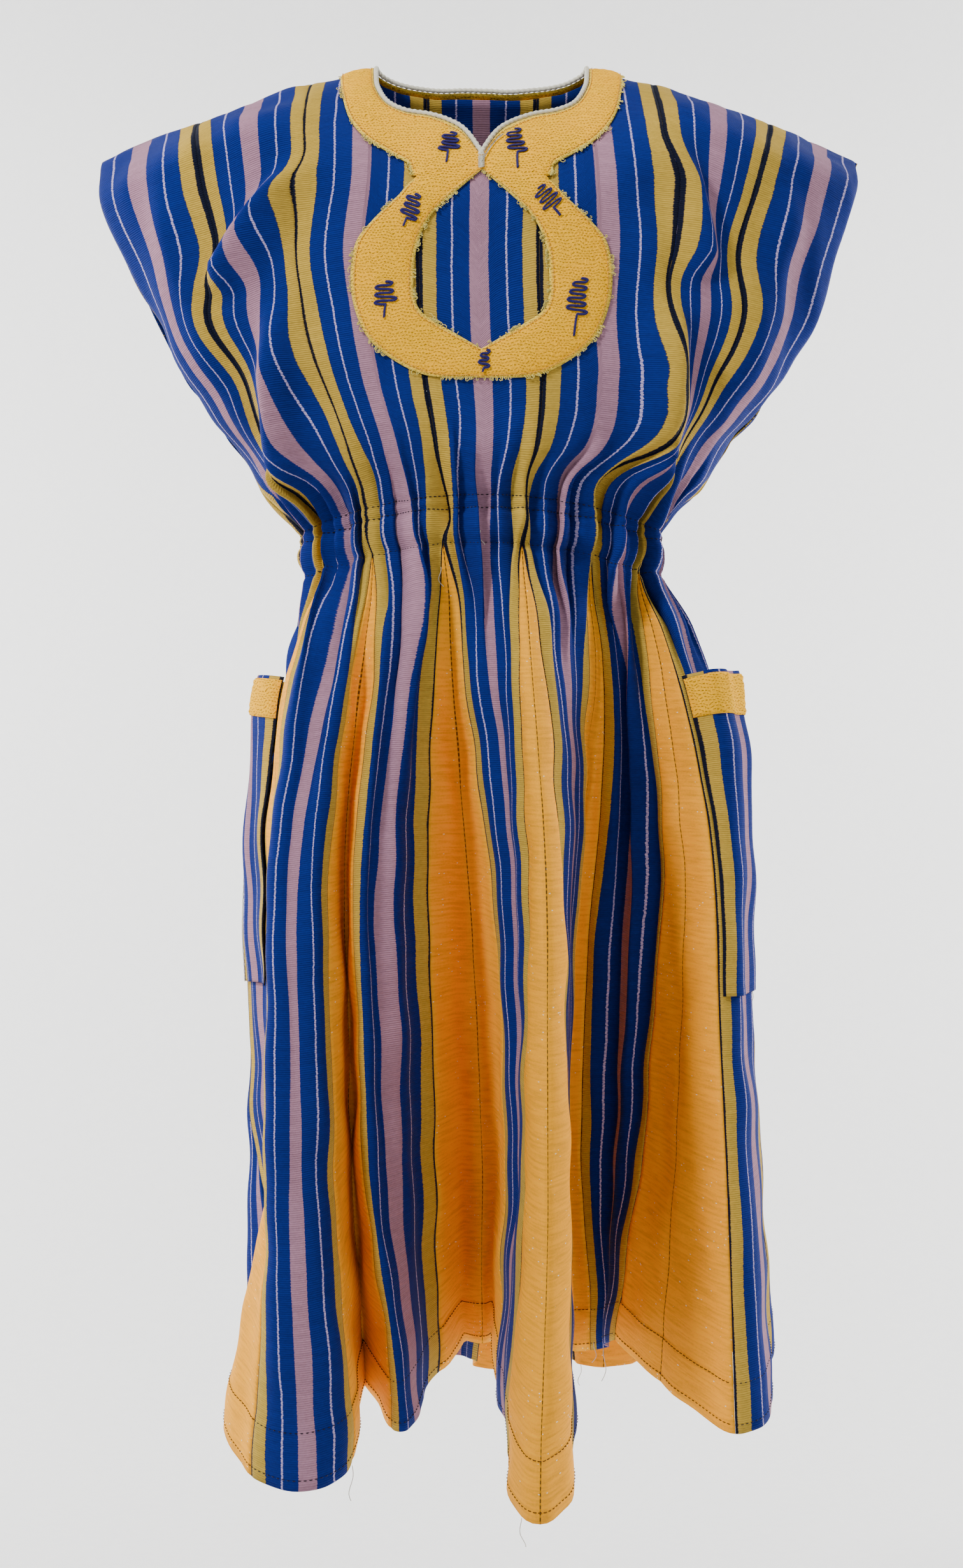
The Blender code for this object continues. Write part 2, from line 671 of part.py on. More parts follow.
def main():
    for old in list(bpy.data.objects):
        bpy.data.objects.remove(old, do_unlink=True)
    dress = bpy.data.collections.new("fugu_dress")
    bpy.context.scene.collection.children.link(dress)
    strip_rows = BODICE_ROWS + tuple(1 + row for row in SKIRT_ROWS[1:])
    godet_rows = tuple(1 + row for row in SKIRT_ROWS if row >= GODET_FIRST)
    for side in ("front", "back"):
        for index in range(STRIPS):
            name = f"{side}_strip_{index + 1}"
            panel(name, side, "strip", index, STRIP_COLUMNS, strip_rows, "blue stripe cloth", dress)
        for index in range(STRIPS - 1):
            name = f"{side}_godet_{index + 1}"
            panel(name, side, "godet", index, GODET_COLUMNS, godet_rows, "orange godet cloth", dress)
    collar(dress)
    neck_binding(dress)
    pocket("pocket_left", 0, dress)
    pocket("pocket_right", STRIPS - 1, dress)


main()
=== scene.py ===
"""The looks of a fugu dress: hand-woven striped strips, orange godets, a quilted collar, pockets
and all the stitching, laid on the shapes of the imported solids.

Metres, +Z up, the front faces -Y. Cloth places are in millimetres across and down a panel."""

import math

import bpy
import numpy as np
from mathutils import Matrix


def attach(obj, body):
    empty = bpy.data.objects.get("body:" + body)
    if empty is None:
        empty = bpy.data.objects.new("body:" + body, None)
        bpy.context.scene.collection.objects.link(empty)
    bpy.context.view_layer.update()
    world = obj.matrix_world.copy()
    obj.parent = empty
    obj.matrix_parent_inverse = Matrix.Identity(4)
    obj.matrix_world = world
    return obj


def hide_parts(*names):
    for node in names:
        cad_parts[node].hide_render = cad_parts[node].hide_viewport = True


bl_info = {
    "name": "Fugu dress",
    "version": (1, 0, 0),
    "blender": (4, 5, 0),
    "location": "3D View > Sidebar > Dress",
    "description": "Makes the cloth, trims and stitching of a strip-woven smock dress",
    "category": "Object",
}

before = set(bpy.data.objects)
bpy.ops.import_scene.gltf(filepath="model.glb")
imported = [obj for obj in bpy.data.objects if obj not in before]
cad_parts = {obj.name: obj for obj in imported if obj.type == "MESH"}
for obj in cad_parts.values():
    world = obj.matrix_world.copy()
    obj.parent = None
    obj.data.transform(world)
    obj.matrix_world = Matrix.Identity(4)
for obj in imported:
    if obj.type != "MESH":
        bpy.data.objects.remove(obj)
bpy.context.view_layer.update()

# Cut sizes of the cloth
STRIP_MM = 98.0        # a woven strip between its two seams, in millimetres
STRIP = STRIP_MM / 1000
STRIPS = 7             # strips across the front, and again across the back
HALF_STRIPS = STRIPS / 2
PANELS = 2 * STRIPS - 1    # strips and godets across one side of the skirt
ROUND = 2 * PANELS         # and all the way round it
GODET = 0.200          # an inserted godet along the hem
SKIRT_LONG = 0.72      # mean length of the skirt
WALL = 0.0018          # thickness of the sewn cloth
GAP = 0.0003           # room left between pieces that are sewn together
SEAM_ROOM = 0.00012    # room left on each side of a seam between the thin cloths
SEAM_DIP = 0.0007      # how far the seams draw the cloth in

# Heights on the body, down from the shoulder point
WAIST_Z = -0.392
WAIST_SIDE_DROP = 0.022
HEM_Z = -1.100
HEM_SWING = 0.34       # how much lower the hem hangs for each metre that a fold swings outwards
HEM_SWING_FROM = 0.02
UNDERARM_Z = -0.352

# Half sizes of the figure's rings
WAIST_HALF_WIDTH = 0.150
WAIST_HALF_DEPTH = 0.108
CHEST_DEPTH = {"front": 0.121, "back": 0.103}
SLEEVE_HALF_OPENING = 0.038

# Gathers on the elastic: each strip is drawn up in this many half waves
GATHER_HALF_WAVES = 7
GATHER_HEIGHT = 0.00616     # of these waves
FOLD_HEIGHT = 0.0074        # of the longer soft folds that run on from some of the waves
PUCKER_HEIGHT = 0.0009      # of the fine puckers at the elastic
GATHER_REACH_UP = 0.085
GATHER_FADES = (0.04, 0.19)     # shares of the skirt's length over which they die out

GODET_TOP = 0.036      # where a godet's point starts, as a share of the skirt's length
GODET_NARROW = (0.020, 0.060)   # over these widths a godet's wall comes to follow its own fold

# The shoulder line, from the neck point to the tip of the sleeve
SHOULDER = [
    # x, z
    (0.000, 0.004),
    (0.060, 0.003),
    (0.092, 0.000),
    (0.145, -0.011),
    (0.245, -0.046),
    (0.327, -0.077),
    (0.360, -0.090),
]

# The front neckline: a shallow scoop with a V cut down from it
NECK_FRONT = [
    # x, z
    (0.000, -0.1020),
    (0.006, -0.0900),
    (0.014, -0.0790),
    (0.026, -0.0690),
    (0.044, -0.0610),
    (0.066, -0.0560),
    (0.081, -0.0460),
    (0.090, -0.0270),
    (0.0925, 0.0000),
]
NECK_BACK = [
    (0.000, -0.0130),
    (0.040, -0.0125),
    (0.070, -0.0095),
    (0.086, -0.0050),
    (0.0925, 0.0000),
]
NECK_HALF_WIDTH = 0.0925

# Where each seam of the front runs, looking straight at it. Seam -3.5 is the left edge.
SEAM_LEVELS = (-0.060, -0.120, -0.175, -0.230, -0.285, -0.335)
FRONT_SEAMS = [
    # seam, x at each level
    (-3.5, (-0.328, -0.324, -0.302, -0.272, -0.239, -0.205)),
    (-2.5, (-0.239, -0.231, -0.217, -0.222, -0.194, -0.178)),
    (-1.5, (-0.146, -0.144, -0.152, -0.144, -0.129, -0.110)),
    (-0.5, (-0.049, -0.050, -0.051, -0.050, -0.046, -0.038)),
    (0.5, (0.047, 0.048, 0.047, 0.048, 0.050, 0.045)),
    (1.5, (0.148, 0.152, 0.155, 0.150, 0.150, 0.137)),
    (2.5, (0.242, 0.226, 0.210, 0.211, 0.191, 0.166)),
    (3.5, (0.325, 0.316, 0.299, 0.280, 0.247, 0.206)),
]

# The same seams on the shoulder line, and where the bodice blouses over the elastic
SEAM_STEPS = (0.5, 1.5, 2.5, 3.5)
SHOULDER_SEAMS = (0.048, 0.146, 0.243, 0.327)
BLOUSED_SEAMS = (0.036, 0.100, 0.152, 0.186)
BLOUSE_Z = -0.366
BLOUSE_REACH = 0.055
NECK_TURN = 0.0035     # how far below the neckline the strips end, under the collar

# Folds that stand out of the bodice: a soft ridge along a line from its top to its foot
BODICE_FOLDS = [
    # side, x and z at the top, x and z at the foot, height, half width
    ("front", -0.150, -0.115, -0.208, -0.205, 0.013, 0.016),
    ("front", -0.163, -0.240, -0.150, -0.385, 0.016, 0.017),
    ("front", 0.158, -0.100, 0.178, -0.195, 0.010, 0.015),
    ("front", 0.152, -0.235, 0.136, -0.385, 0.018, 0.016),
    ("front", -0.262, -0.130, -0.222, -0.300, 0.007, 0.020),
    ("front", 0.256, -0.120, 0.214, -0.290, 0.008, 0.020),
    ("back", -0.170, -0.090, -0.150, -0.385, 0.014, 0.020),
    ("back", 0.164, -0.110, 0.140, -0.385, 0.015, 0.019),
    ("back", -0.248, -0.120, -0.206, -0.300, 0.008, 0.022),
    ("back", 0.252, -0.110, 0.212, -0.310, 0.008, 0.021),
    ("back", 0.030, -0.210, 0.012, -0.390, 0.006, 0.018),
    ("back", -0.070, -0.240, -0.052, -0.390, 0.006, 0.016),
]

# The skirt's folds where they reach the hem. A panel takes one step of the position: strips
# and godets alternate, 13 panels from the left side round the front, then 13 round the back.
HEM_FOLDS = [
    # position, x, y
    (0.0, -0.155, 0.020),
    (1.0, -0.185, -0.045),
    (1.5, -0.212, -0.120),
    (2.0, -0.180, -0.188),
    (2.3, -0.152, -0.207),
    (3.0, -0.100, -0.168),
    (3.5, -0.098, -0.064),
    (4.0, -0.070, -0.126),
    (5.0, -0.034, -0.048),
    (5.5, 0.000, 0.030),
    (6.0, 0.012, -0.065),
    (7.0, 0.019, -0.165),
    (7.3, 0.024, -0.224),
    (7.5, 0.044, -0.247),
    (7.7, 0.066, -0.224),
    (8.0, 0.071, -0.165),
    (9.0, 0.076, -0.070),
    (9.5, 0.074, 0.030),
    (9.8, 0.084, 0.090),
    (10.0, 0.100, 0.082),
    (11.0, 0.114, 0.000),
    (11.5, 0.147, -0.062),
    (12.0, 0.205, -0.134),
    (12.2, 0.222, -0.127),
    (13.0, 0.245, -0.045),
    (14.0, 0.240, 0.050),
    (14.5, 0.210, 0.142),
    (15.0, 0.166, 0.070),
    (16.0, 0.150, 0.155),
    (16.3, 0.139, 0.212),
    (16.5, 0.117, 0.234),
    (16.7, 0.096, 0.215),
    (17.0, 0.086, 0.170),
    (17.5, 0.060, 0.125),
    (18.0, 0.042, 0.182),
    (18.3, 0.040, 0.238),
    (18.5, 0.020, 0.262),
    (18.7, -0.002, 0.238),
    (19.0, -0.005, 0.182),
    (19.5, -0.022, 0.125),
    (20.0, -0.037, 0.165),
    (20.3, -0.040, 0.222),
    (20.5, -0.060, 0.245),
    (20.7, -0.081, 0.224),
    (21.0, -0.083, 0.175),
    (21.8, -0.094, 0.095),
    (22.0, -0.106, 0.102),
    (22.3, -0.106, 0.172),
    (22.5, -0.125, 0.202),
    (22.75, -0.146, 0.186),
    (23.0, -0.148, 0.150),
    (24.0, -0.138, 0.082),
    (24.5, -0.190, 0.156),
    (25.0, -0.210, 0.075),
]

# The skirt's mean ring under its folds
SKIRT_RINGS = [
    # share of the skirt's length, half width, half depth
    (0.00, 0.150, 0.108),
    (0.04, 0.149, 0.108),
    (0.10, 0.166, 0.124),
    (0.18, 0.180, 0.140),
    (0.32, 0.196, 0.150),
    (0.60, 0.200, 0.156),
    (1.00, 0.205, 0.160),
]
FOLD_GROWTH = 0.52     # power of the length by which the folds grow

# The collar applique looked at from the front: its edge at the neckline and its outer edge
COLLAR_BAND = [
    # inner x, inner z, outer x, outer z
    (0.0000, -0.1020, 0.0000, -0.1068),
    (0.0140, -0.0790, 0.0270, -0.1120),
    (0.0260, -0.0690, 0.0540, -0.1190),
    (0.0440, -0.0610, 0.0600, -0.1080),
    (0.0660, -0.0560, 0.0750, -0.0985),
    (0.0810, -0.0460, 0.0950, -0.0850),
    (0.0900, -0.0270, 0.1100, -0.0640),
    (0.0923, -0.0080, 0.1175, -0.0340),
    (0.0925, -0.0020, 0.1200, -0.0130),
    (0.0925, 0.0000, 0.1205, -0.0055),
]
# The pear-shaped loop that hangs from it on the chest: its outer and its inner edge
COLLAR_LOOP = [
    # outer x, outer z, inner x, inner z
    (0.0000, -0.1092, 0.0000, -0.1132),
    (0.0270, -0.1146, 0.0125, -0.1245),
    (0.0540, -0.1215, 0.0300, -0.1405),
    (0.0690, -0.1370, 0.0390, -0.1495),
    (0.0880, -0.1550, 0.0470, -0.1620),
    (0.1020, -0.1730, 0.0530, -0.1800),
    (0.1065, -0.1980, 0.0550, -0.2010),
    (0.1040, -0.2240, 0.0545, -0.2180),
    (0.0930, -0.2500, 0.0490, -0.2300),
    (0.0720, -0.2690, 0.0370, -0.2385),
    (0.0420, -0.2825, 0.0200, -0.2485),
    (0.0000, -0.2840, 0.0000, -0.2603),
]
COLLAR_BACK = [
    # inner x, inner z, outer x, outer z
    (0.0000, -0.0130, 0.0000, -0.0560),
    (0.0400, -0.0125, 0.0500, -0.0530),
    (0.0700, -0.0095, 0.0860, -0.0430),
    (0.0860, -0.0050, 0.1080, -0.0270),
    (0.0915, -0.0015, 0.1180, -0.0120),
    (0.0925, 0.0000, 0.1205, -0.0055),
]
COLLAR_CLEAR = 0.0012
COLLAR_THICK = 0.0022
COLLAR_MM = 40.0       # width of the quilted band on the flat cloth
COLLAR_ROW = 0.07      # share of that width between each edge and its row of stitches
COLLAR_JOINT = 0.00125     # how far the loop and the neck band keep from the seam between them
BINDING_RADIUS = 0.0019

# The side pockets, as shares of the skirt's length
POCKET_ROWS = (0.17, 0.20, 0.22, 0.29, 0.36, 0.42, 0.54)
POCKET_BAND_ROWS = 3
POCKET_COLUMNS = (0.045, 0.14, 0.30, 0.50, 0.70, 0.86, 0.955)
POCKET_CLEAR = 0.0014
POCKET_GAPE = 0.028

# Small creases that run mostly downwards: waves per metre along X, Y and Z, phase, height in mm
CREASES = [
    (61.0, 38.0, 9.0, 0.4, 0.55),
    (-47.0, 66.0, 13.0, 2.1, 0.50),
    (92.0, -71.0, -17.0, 4.0, 0.42),
    (128.0, 96.0, 22.0, 1.2, 0.30),
    (-151.0, 118.0, -31.0, 5.3, 0.26),
    (37.0, 22.0, 58.0, 3.3, 0.52),
    (-24.0, 31.0, 97.0, 0.9, 0.34),
    (55.0, 12.0, -74.0, 1.7, 0.36),
    (210.0, 160.0, 64.0, 2.6, 0.14),
]

# How much of them each height has
CREASE_LEVELS = [
    # z, share on the sleeves and sides, share on the chest
    (-1.25, 1.9, 1.9),
    (-1.00, 1.5, 1.5),
    (-0.70, 1.2, 1.2),
    (-0.45, 1.5, 1.5),
    (-0.36, 1.9, 1.6),
    (-0.30, 2.3, 0.8),
    (-0.20, 2.0, 0.3),
    (-0.05, 1.4, 0.3),
    (0.05, 0.6, 0.25),
]

# Soft pleats below the waist that use up the width of each strip
PLEATS = {
    # depth in metres and half waves, strip by strip
    "front": (
        (0.0030, 2), (0.0045, 3), (0.0050, 4), (0.0035, 3), (0.0025, 2), (0.0085, 4), (0.0030, 3),
    ),
    "back": (
        (0.0030, 3), (0.0045, 4), (0.0030, 2), (0.0035, 3), (0.0040, 4), (0.0070, 3), (0.0065, 4),
    ),
}

# How far each of the bodice's folds leans over to the side that it stands on, in metres
FOLD_LEANS = (0.021, 0.020, 0.015, 0.018, 0.008, 0.009, 0.016, 0.016, 0.009, 0.009, 0.003, 0.004)

# Shares of the skirt's length over which the sway of its seams grows and then mostly fades
SWAY_GROWS = (0.12, 0.50)
SWAY_FADES = (0.72, 1.0)

# How far the skirt's seams sway sideways between the waist and the hem, in metres
SWAYS = [
    # place round the skirt, counted in panels from the viewer's left side seam; shift along X
    (0.0, -0.040),
    (0.5, -0.020),
    (1.0, 0.004),
    (1.5, 0.030),
    (1.75, 0.027),
    (2.0, 0.004),
    (2.5, -0.011),
    (3.0, -0.012),
    (3.5, -0.008),
    (4.0, -0.020),
    (5.0, -0.002),
    (6.0, 0.014),
    (7.0, 0.014),
    (8.0, 0.000),
    (9.0, -0.008),
    (10.0, -0.018),
    (11.0, 0.016),
    (12.0, 0.002),
    (13.0, 0.000),
    (14.0, 0.000),
    (24.0, 0.000),
    (25.0, 0.000),
    (25.5, -0.014),
    (26.0, -0.040),
]

# The stripes of one woven strip, in mm from its left seam: where each starts, and its yarn
STRIPES = [
    (0.0, "navy"),
    (2.1, "brown"),
    (2.6, "yellow"),
    (13.4, "brown"),
    (13.9, "blue"),
    (25.7, "white"),
    (27.3, "blue"),
    (40.8, "plum"),
    (41.3, "pink"),
    (56.9, "plum"),
    (57.4, "blue"),
    (70.9, "white"),
    (72.5, "blue"),
    (84.3, "brown"),
    (84.8, "yellow"),
    (95.5, "brown"),
    (96.0, "navy"),
]

# How far the seam allowance hides the navy edge at each front seam, in mm; negative shows more
SEAM_TAKE = {-3: -1.1, -2: 1.5, -1: -0.2, 1: -0.2, 2: -0.4, 3: -0.1}
SLEEVE_TURN = 13.6     # mm of the outer stripe turned in at the sleeve

# The same beside the godets, in mm at the left and the right edge of each strip
SKIRT_TAKES = {
    "front": ((0.0, 1.7), (1.2, 2.0), (1.4, 0.3), (0.4, 1.8), (1.6, 1.6), (1.8, 2.0), (0.5, 0.0)),
    "back": ((0.0, 1.2), (1.7, 0.6), (0.8, 1.8), (1.5, 0.9), (1.1, 1.9), (0.7, 1.5), (1.4, 0.0)),
}

# Elastic casing: heights of its stitch rows above and below the waist line
ELASTIC_ROWS = (0.015, 0.005, -0.024)
HEM_DEEP = 0.0375      # the cloth turned up inside the hem
HEM_EDGE = 0.0065      # the second stitch row above the hem's edge
STITCH_GAP = 0.0014    # between two stitches of those rows

# Embroidered squiggles on the collar: a stack of loops on a stem
SQUIGGLES = [
    # x, z, width and height in mm, lean in degrees, loops, share of the height that the loops take
    (-27.0, -95.0, 17.0, 27.0, 8.0, 3.0, 0.62),
    (28.0, -96.0, 16.0, 36.0, -4.0, 3.5, 0.60),
    (-58.5, -149.0, 16.0, 27.0, 22.0, 3.5, 0.74),
    (55.0, -142.0, 18.0, 28.0, -38.0, 3.5, 0.70),
    (-78.5, -221.0, 19.0, 29.0, 2.0, 3.0, 0.64),
    (77.0, -227.0, 17.0, 47.0, 6.0, 4.5, 0.62),
    (2.0, -271.0, 9.0, 18.0, 8.0, 2.5, 0.80),
]

# Loose thread ends: panel, place across it, row down it, length in metres
LOOSE_ENDS = [
    ("front", "strip", 1, 0.95, 2.0, 0.028),
    ("front", "godet", 3, 0.4, 2.0, 0.022),
    ("front", "strip", 5, 0.3, 2.0, 0.030),
    ("front", "strip", 3, 0.5, 1.02, 0.012),
    ("front", "strip", 2, 0.98, 1.06, 0.016),
    ("front", "strip", 5, 0.1, 1.99, 0.018),
    ("back", "strip", 2, 0.5, 2.0, 0.024),
    ("back", "godet", 1, 0.7, 2.0, 0.020),
    ("front", "strip", 6, 0.96, 1.54, 0.018),
]

# Names of the three cloths
STRIPED = "hand-woven striped cotton"
ORANGE = "orange lurex cotton"
QUILTED = "quilted yellow terry"
CLOTH_GLOSS = 0.12     # how much light the surface of cloth and thread mirrors
DRAWN_RIB = 1.7        # one rib of the weft as drawn, in mm

# The studio: the camera stands level before the dress, a little below its waist
CAMERA_PLACE = (0.0, -2.1, -0.614)
CAMERA_LENS = 55.9
FLOOR_Z = -1.62
LIGHTS = [
    # name, place, aim, width in metres, power in watts
    ("key_light", (-1.5, -1.55, 1.25), (0.0, 0.0, -0.25), 0.5, 68.0),
    ("fill_light", (1.3, -2.6, 0.6), (0.0, 0.0, -0.5), 1.2, 16.0),
    ("top_light", (0.3, -0.7, 1.7), (0.0, 0.0, -0.4), 0.7, 16.0),
    ("paper_light_left", (-2.6, 0.9, 0.2), (-0.6, 2.6, -0.6), 1.6, 150.0),
    ("paper_light_right", (2.6, 0.9, 0.2), (0.6, 2.6, -0.6), 1.6, 150.0),
]


def through(knots, values, at):
    """A smooth curve through the values at the knots, read at the places given."""
    knots = np.asarray(knots, float)
    values = np.asarray(values, float)
    at = np.asarray(at, float)
    slopes = np.gradient(values, knots, axis=0)
    low = np.clip(np.searchsorted(knots, at, side="right") - 1, 0, len(knots) - 2)
    span = knots[low + 1] - knots[low]
    part = np.clip((at - knots[low]) / span, 0.0, 1.0)
    if values.ndim > 1:
        part = part[..., None]
        span = span[..., None]
    square = part * part
    cube = square * part
    return (
        (2 * cube - 3 * square + 1) * values[low]
        + (cube - 2 * square + part) * span * slopes[low]
        + (3 * square - 2 * cube) * values[low + 1]
        + (cube - square) * span * slopes[low + 1]
    )


def ease(low, high, at):
    """0 below low, 1 above high, with a soft change between them."""
    part = np.clip((np.asarray(at, float) - low) / (high - low), 0.0, 1.0)
    return part * part * (3 - 2 * part)


def hump(away, reach):
    """1 where away is 0, falling softly to nothing on both sides."""
    return np.exp(-((away / reach) ** 2))


def unit(vectors, least=0.0):
    """The vectors at length 1; those shorter than the least stay shorter than 1."""
    return vectors / np.maximum(np.linalg.norm(vectors, axis=-1, keepdims=True), least)


def walked(path):
    """Lengths along a path from its first point."""
    return np.concatenate(([0.0], np.cumsum(np.linalg.norm(np.diff(path, axis=0), axis=1))))


def read_at(lengths, values, at):
    """Rows of values read at lengths between them."""
    return np.stack([np.interp(at, lengths, column) for column in values.T], -1)


def shoulder_z(x):
    knots, heights = zip(*SHOULDER)
    return through(knots, heights, np.abs(x))


def neck_z(x, side):
    knots, heights = zip(*(NECK_FRONT if side == "front" else NECK_BACK))
    return np.interp(np.abs(x), knots, heights)


def waist_z(angle):
    """Height of the gathered waist at an angle round the ring; it dips at the sides."""
    return WAIST_Z - WAIST_SIDE_DROP * np.cos(angle) ** 2


def seam_x(seam, z, side):
    """Sideways place of a cloth position, counted in strips from the middle, at a height."""
    knots = np.array([row[0] for row in FRONT_SEAMS])
    tracks = np.array([row[1] for row in FRONT_SEAMS])[:, ::-1]
    far = np.abs(knots)
    top = np.sign(knots) * np.interp(far, SEAM_STEPS, SHOULDER_SEAMS)
    blouse = np.sign(knots) * np.interp(far, SEAM_STEPS, BLOUSED_SEAMS)
    foot = -WAIST_HALF_WIDTH * np.cos(math.pi * (knots + HALF_STRIPS) / STRIPS)
    columns = np.column_stack((foot, blouse, tracks, top))
    if side == "back":
        columns = 0.5 * (columns - columns[::-1])
    levels = (WAIST_Z - 0.012, BLOUSE_Z) + SEAM_LEVELS[::-1] + (0.0,)
    seam, z = np.broadcast_arrays(np.asarray(seam, float), np.asarray(z, float))
    weights = through(knots, np.eye(len(knots)), seam)
    return (weights * through(levels, columns.T, z)).sum(-1)


def fold_line(fold, z, top_end, foot_end):
    """For one of the bodice's folds at heights z: the x of its line and how strong it is."""
    _, top_x, top_z, foot_x, foot_z, _, _ = fold
    along = (z - top_z) / (foot_z - top_z)
    line = top_x + (foot_x - top_x) * np.clip(along, 0.0, 1.0)
    return line, ease(-0.25, top_end, along) * (1 - ease(*foot_end, along))


def bodice_depth(x, z, side):
    """How far the front lies before the shoulder line, or the back behind it."""
    x, z = np.broadcast_arrays(np.asarray(x, float), np.asarray(z, float))
    edge = np.where(x < 0, -seam_x(-HALF_STRIPS, z, side), seam_x(HALF_STRIPS, z, side))
    opening = SLEEVE_HALF_OPENING * ease(UNDERARM_Z, UNDERARM_Z + 0.10, z)
    low = ease(-0.400, -0.320, z)
    depth = WAIST_HALF_DEPTH + (CHEST_DEPTH[side] - WAIST_HALF_DEPTH) * low
    across = np.clip(np.abs(x) / edge, 0.0, 1.0)
    round_off = (1 - across ** (2.0 + 0.7 * low)) ** (0.5 + 0.12 * low)
    reach = 0.055 + 0.105 * (1 - ease(0.05, 0.21, np.abs(x)))
    turn = np.sin(0.5 * math.pi * np.clip((shoulder_z(x) - z) / reach, 0.0, 1.0)) ** 0.8
    depth = (opening + (depth - opening) * round_off) * turn
    for fold in BODICE_FOLDS:
        if fold[0] == side:
            height, width = fold[-2:]
            line, strength = fold_line(fold, z, 0.25, (0.85, 1.15))
            depth = depth + height * strength * hump(x - line, width) * turn
    return depth


def cloth_top(seam, side):
    """Height of the top of the cloth at a seam: the neckline, or the shoulder beside it."""
    start = np.interp(np.abs(seam), (0.0,) + SEAM_STEPS, (0.0,) + SHOULDER_SEAMS)
    return np.where(start < NECK_HALF_WIDTH, neck_z(start, side) - NECK_TURN, shoulder_z(start))


def bodice(side, fraction, strip, row):
    """Points of one strip between the shoulder and the waist; row runs from 0 to 1."""
    fraction, row = np.broadcast_arrays(np.asarray(fraction, float), np.asarray(row, float))
    outward = -1.0 if side == "front" else 1.0
    seam = -outward * (-HALF_STRIPS + strip + fraction)
    angle = math.pi * (strip + fraction) / STRIPS
    foot = waist_z(angle)
    top = cloth_top(seam, side)
    z = top + (foot - top) * row
    x = seam_x(seam, z, side)
    y = outward * (bodice_depth(x, z, side) + GAP / 2)
    drawn_in = 1 - ease(foot, foot + BLOUSE_REACH, z)
    x = x + (outward * np.cos(angle) * WAIST_HALF_WIDTH - x) * drawn_in
    y = y + (outward * np.sin(angle) * WAIST_HALF_DEPTH - y) * drawn_in
    return np.stack((x, y, z), -1), 1 - ease(foot, foot + GATHER_REACH_UP, z)


def godet_width(down):
    """Width of a godet at a share of the skirt's length; its point is a little blunt."""
    return GODET * np.clip((down - GODET_TOP) / (1 - GODET_TOP), 0.0, 1.0) ** 0.8


def ring_angle(position, down):
    """Angle round the skirt's mean ring of a panel position, from the cloth before it."""
    half = np.floor(position / PANELS)
    inside = position - PANELS * half
    panel = np.floor(inside)
    width = godet_width(down)
    before = np.ceil(panel / 2) * STRIP + np.floor(panel / 2) * width
    before = before + (inside - panel) * np.where(panel % 2 == 0, STRIP, width)
    return math.pi * (half + before / (STRIPS * STRIP + (STRIPS - 1) * width))


def mean_ring(position, down):
    """Place on the skirt's ring under its folds."""
    shares, widths, depths = zip(*SKIRT_RINGS)
    angle = ring_angle(position, down)
    x = -through(shares, widths, down) * np.cos(angle)
    y = -through(shares, depths, down) * np.sin(angle)
    return np.stack((x, y), -1)


def hem_ring(position):
    """The folded ring of the hem, a closed smooth curve through the table's folds."""
    rows = [(p - ROUND, x, y) for p, x, y in HEM_FOLDS[-3:]]
    rows += HEM_FOLDS
    rows += [(p + ROUND, x, y) for p, x, y in HEM_FOLDS[:3]]
    table = np.array(rows)
    return through(table[:, 0], table[:, 1:], np.mod(position, ROUND))


def hem_fold(position):
    """How far the hem's folds carry a panel position from the mean ring."""
    return hem_ring(position) - mean_ring(position, np.ones_like(position))


def seam_fold(seam, growth, opened):
    """The same for a seam at a height. The two seams of a godet leave the waist as one and
    part as the godet opens."""
    inside = np.mod(seam, PANELS)
    partner = seam + np.where(inside == 0, 0.0, np.where(inside % 2 == 1, 1.0, -1.0))
    own, other = hem_fold(seam), hem_fold(partner)
    shared = 0.5 * (own + other)
    return shared * growth[..., None] + (own - shared) * opened[..., None]


def skirt(position, down):
    """Points of the skirt at a panel position and a share of its length. Inside a godet the
    fold only grows as fast as the godet widens."""
    position, down = np.broadcast_arrays(np.asarray(position, float), np.asarray(down, float))
    growth = np.clip((down - 0.02) / 0.98, 0.0, 1.0) ** FOLD_GROWTH * ease(0.0, 0.10, down)
    opened = godet_width(down) / GODET
    start = np.floor(position)
    part = (position - start)[..., None]

    def straight(*how):
        return seam_fold(start, *how) * (1 - part) + seam_fold(start + 1, *how) * part

    full = np.ones_like(down)
    own = np.where(np.mod(start, PANELS) % 2 == 1, opened * ease(0.0, 0.4, opened), growth)
    bulge = (hem_fold(position) - straight(full, full)) * own[..., None]
    flat = mean_ring(position, down) + straight(growth, opened) + bulge
    swayed = ease(*SWAY_GROWS, down) * (1 - 0.9 * ease(*SWAY_FADES, down))
    flat[..., 0] += through(*zip(*SWAYS), np.mod(position, ROUND)) * swayed
    swing = HEM_SWING * (np.abs(hem_ring(position)[..., 1]) - HEM_SWING_FROM)
    waist = waist_z(ring_angle(position, down * 0.0))
    z = waist + (HEM_Z - waist) * down - swing * down**3
    return np.concatenate((flat, z[..., None]), -1), 1 - ease(*GATHER_FADES, down)


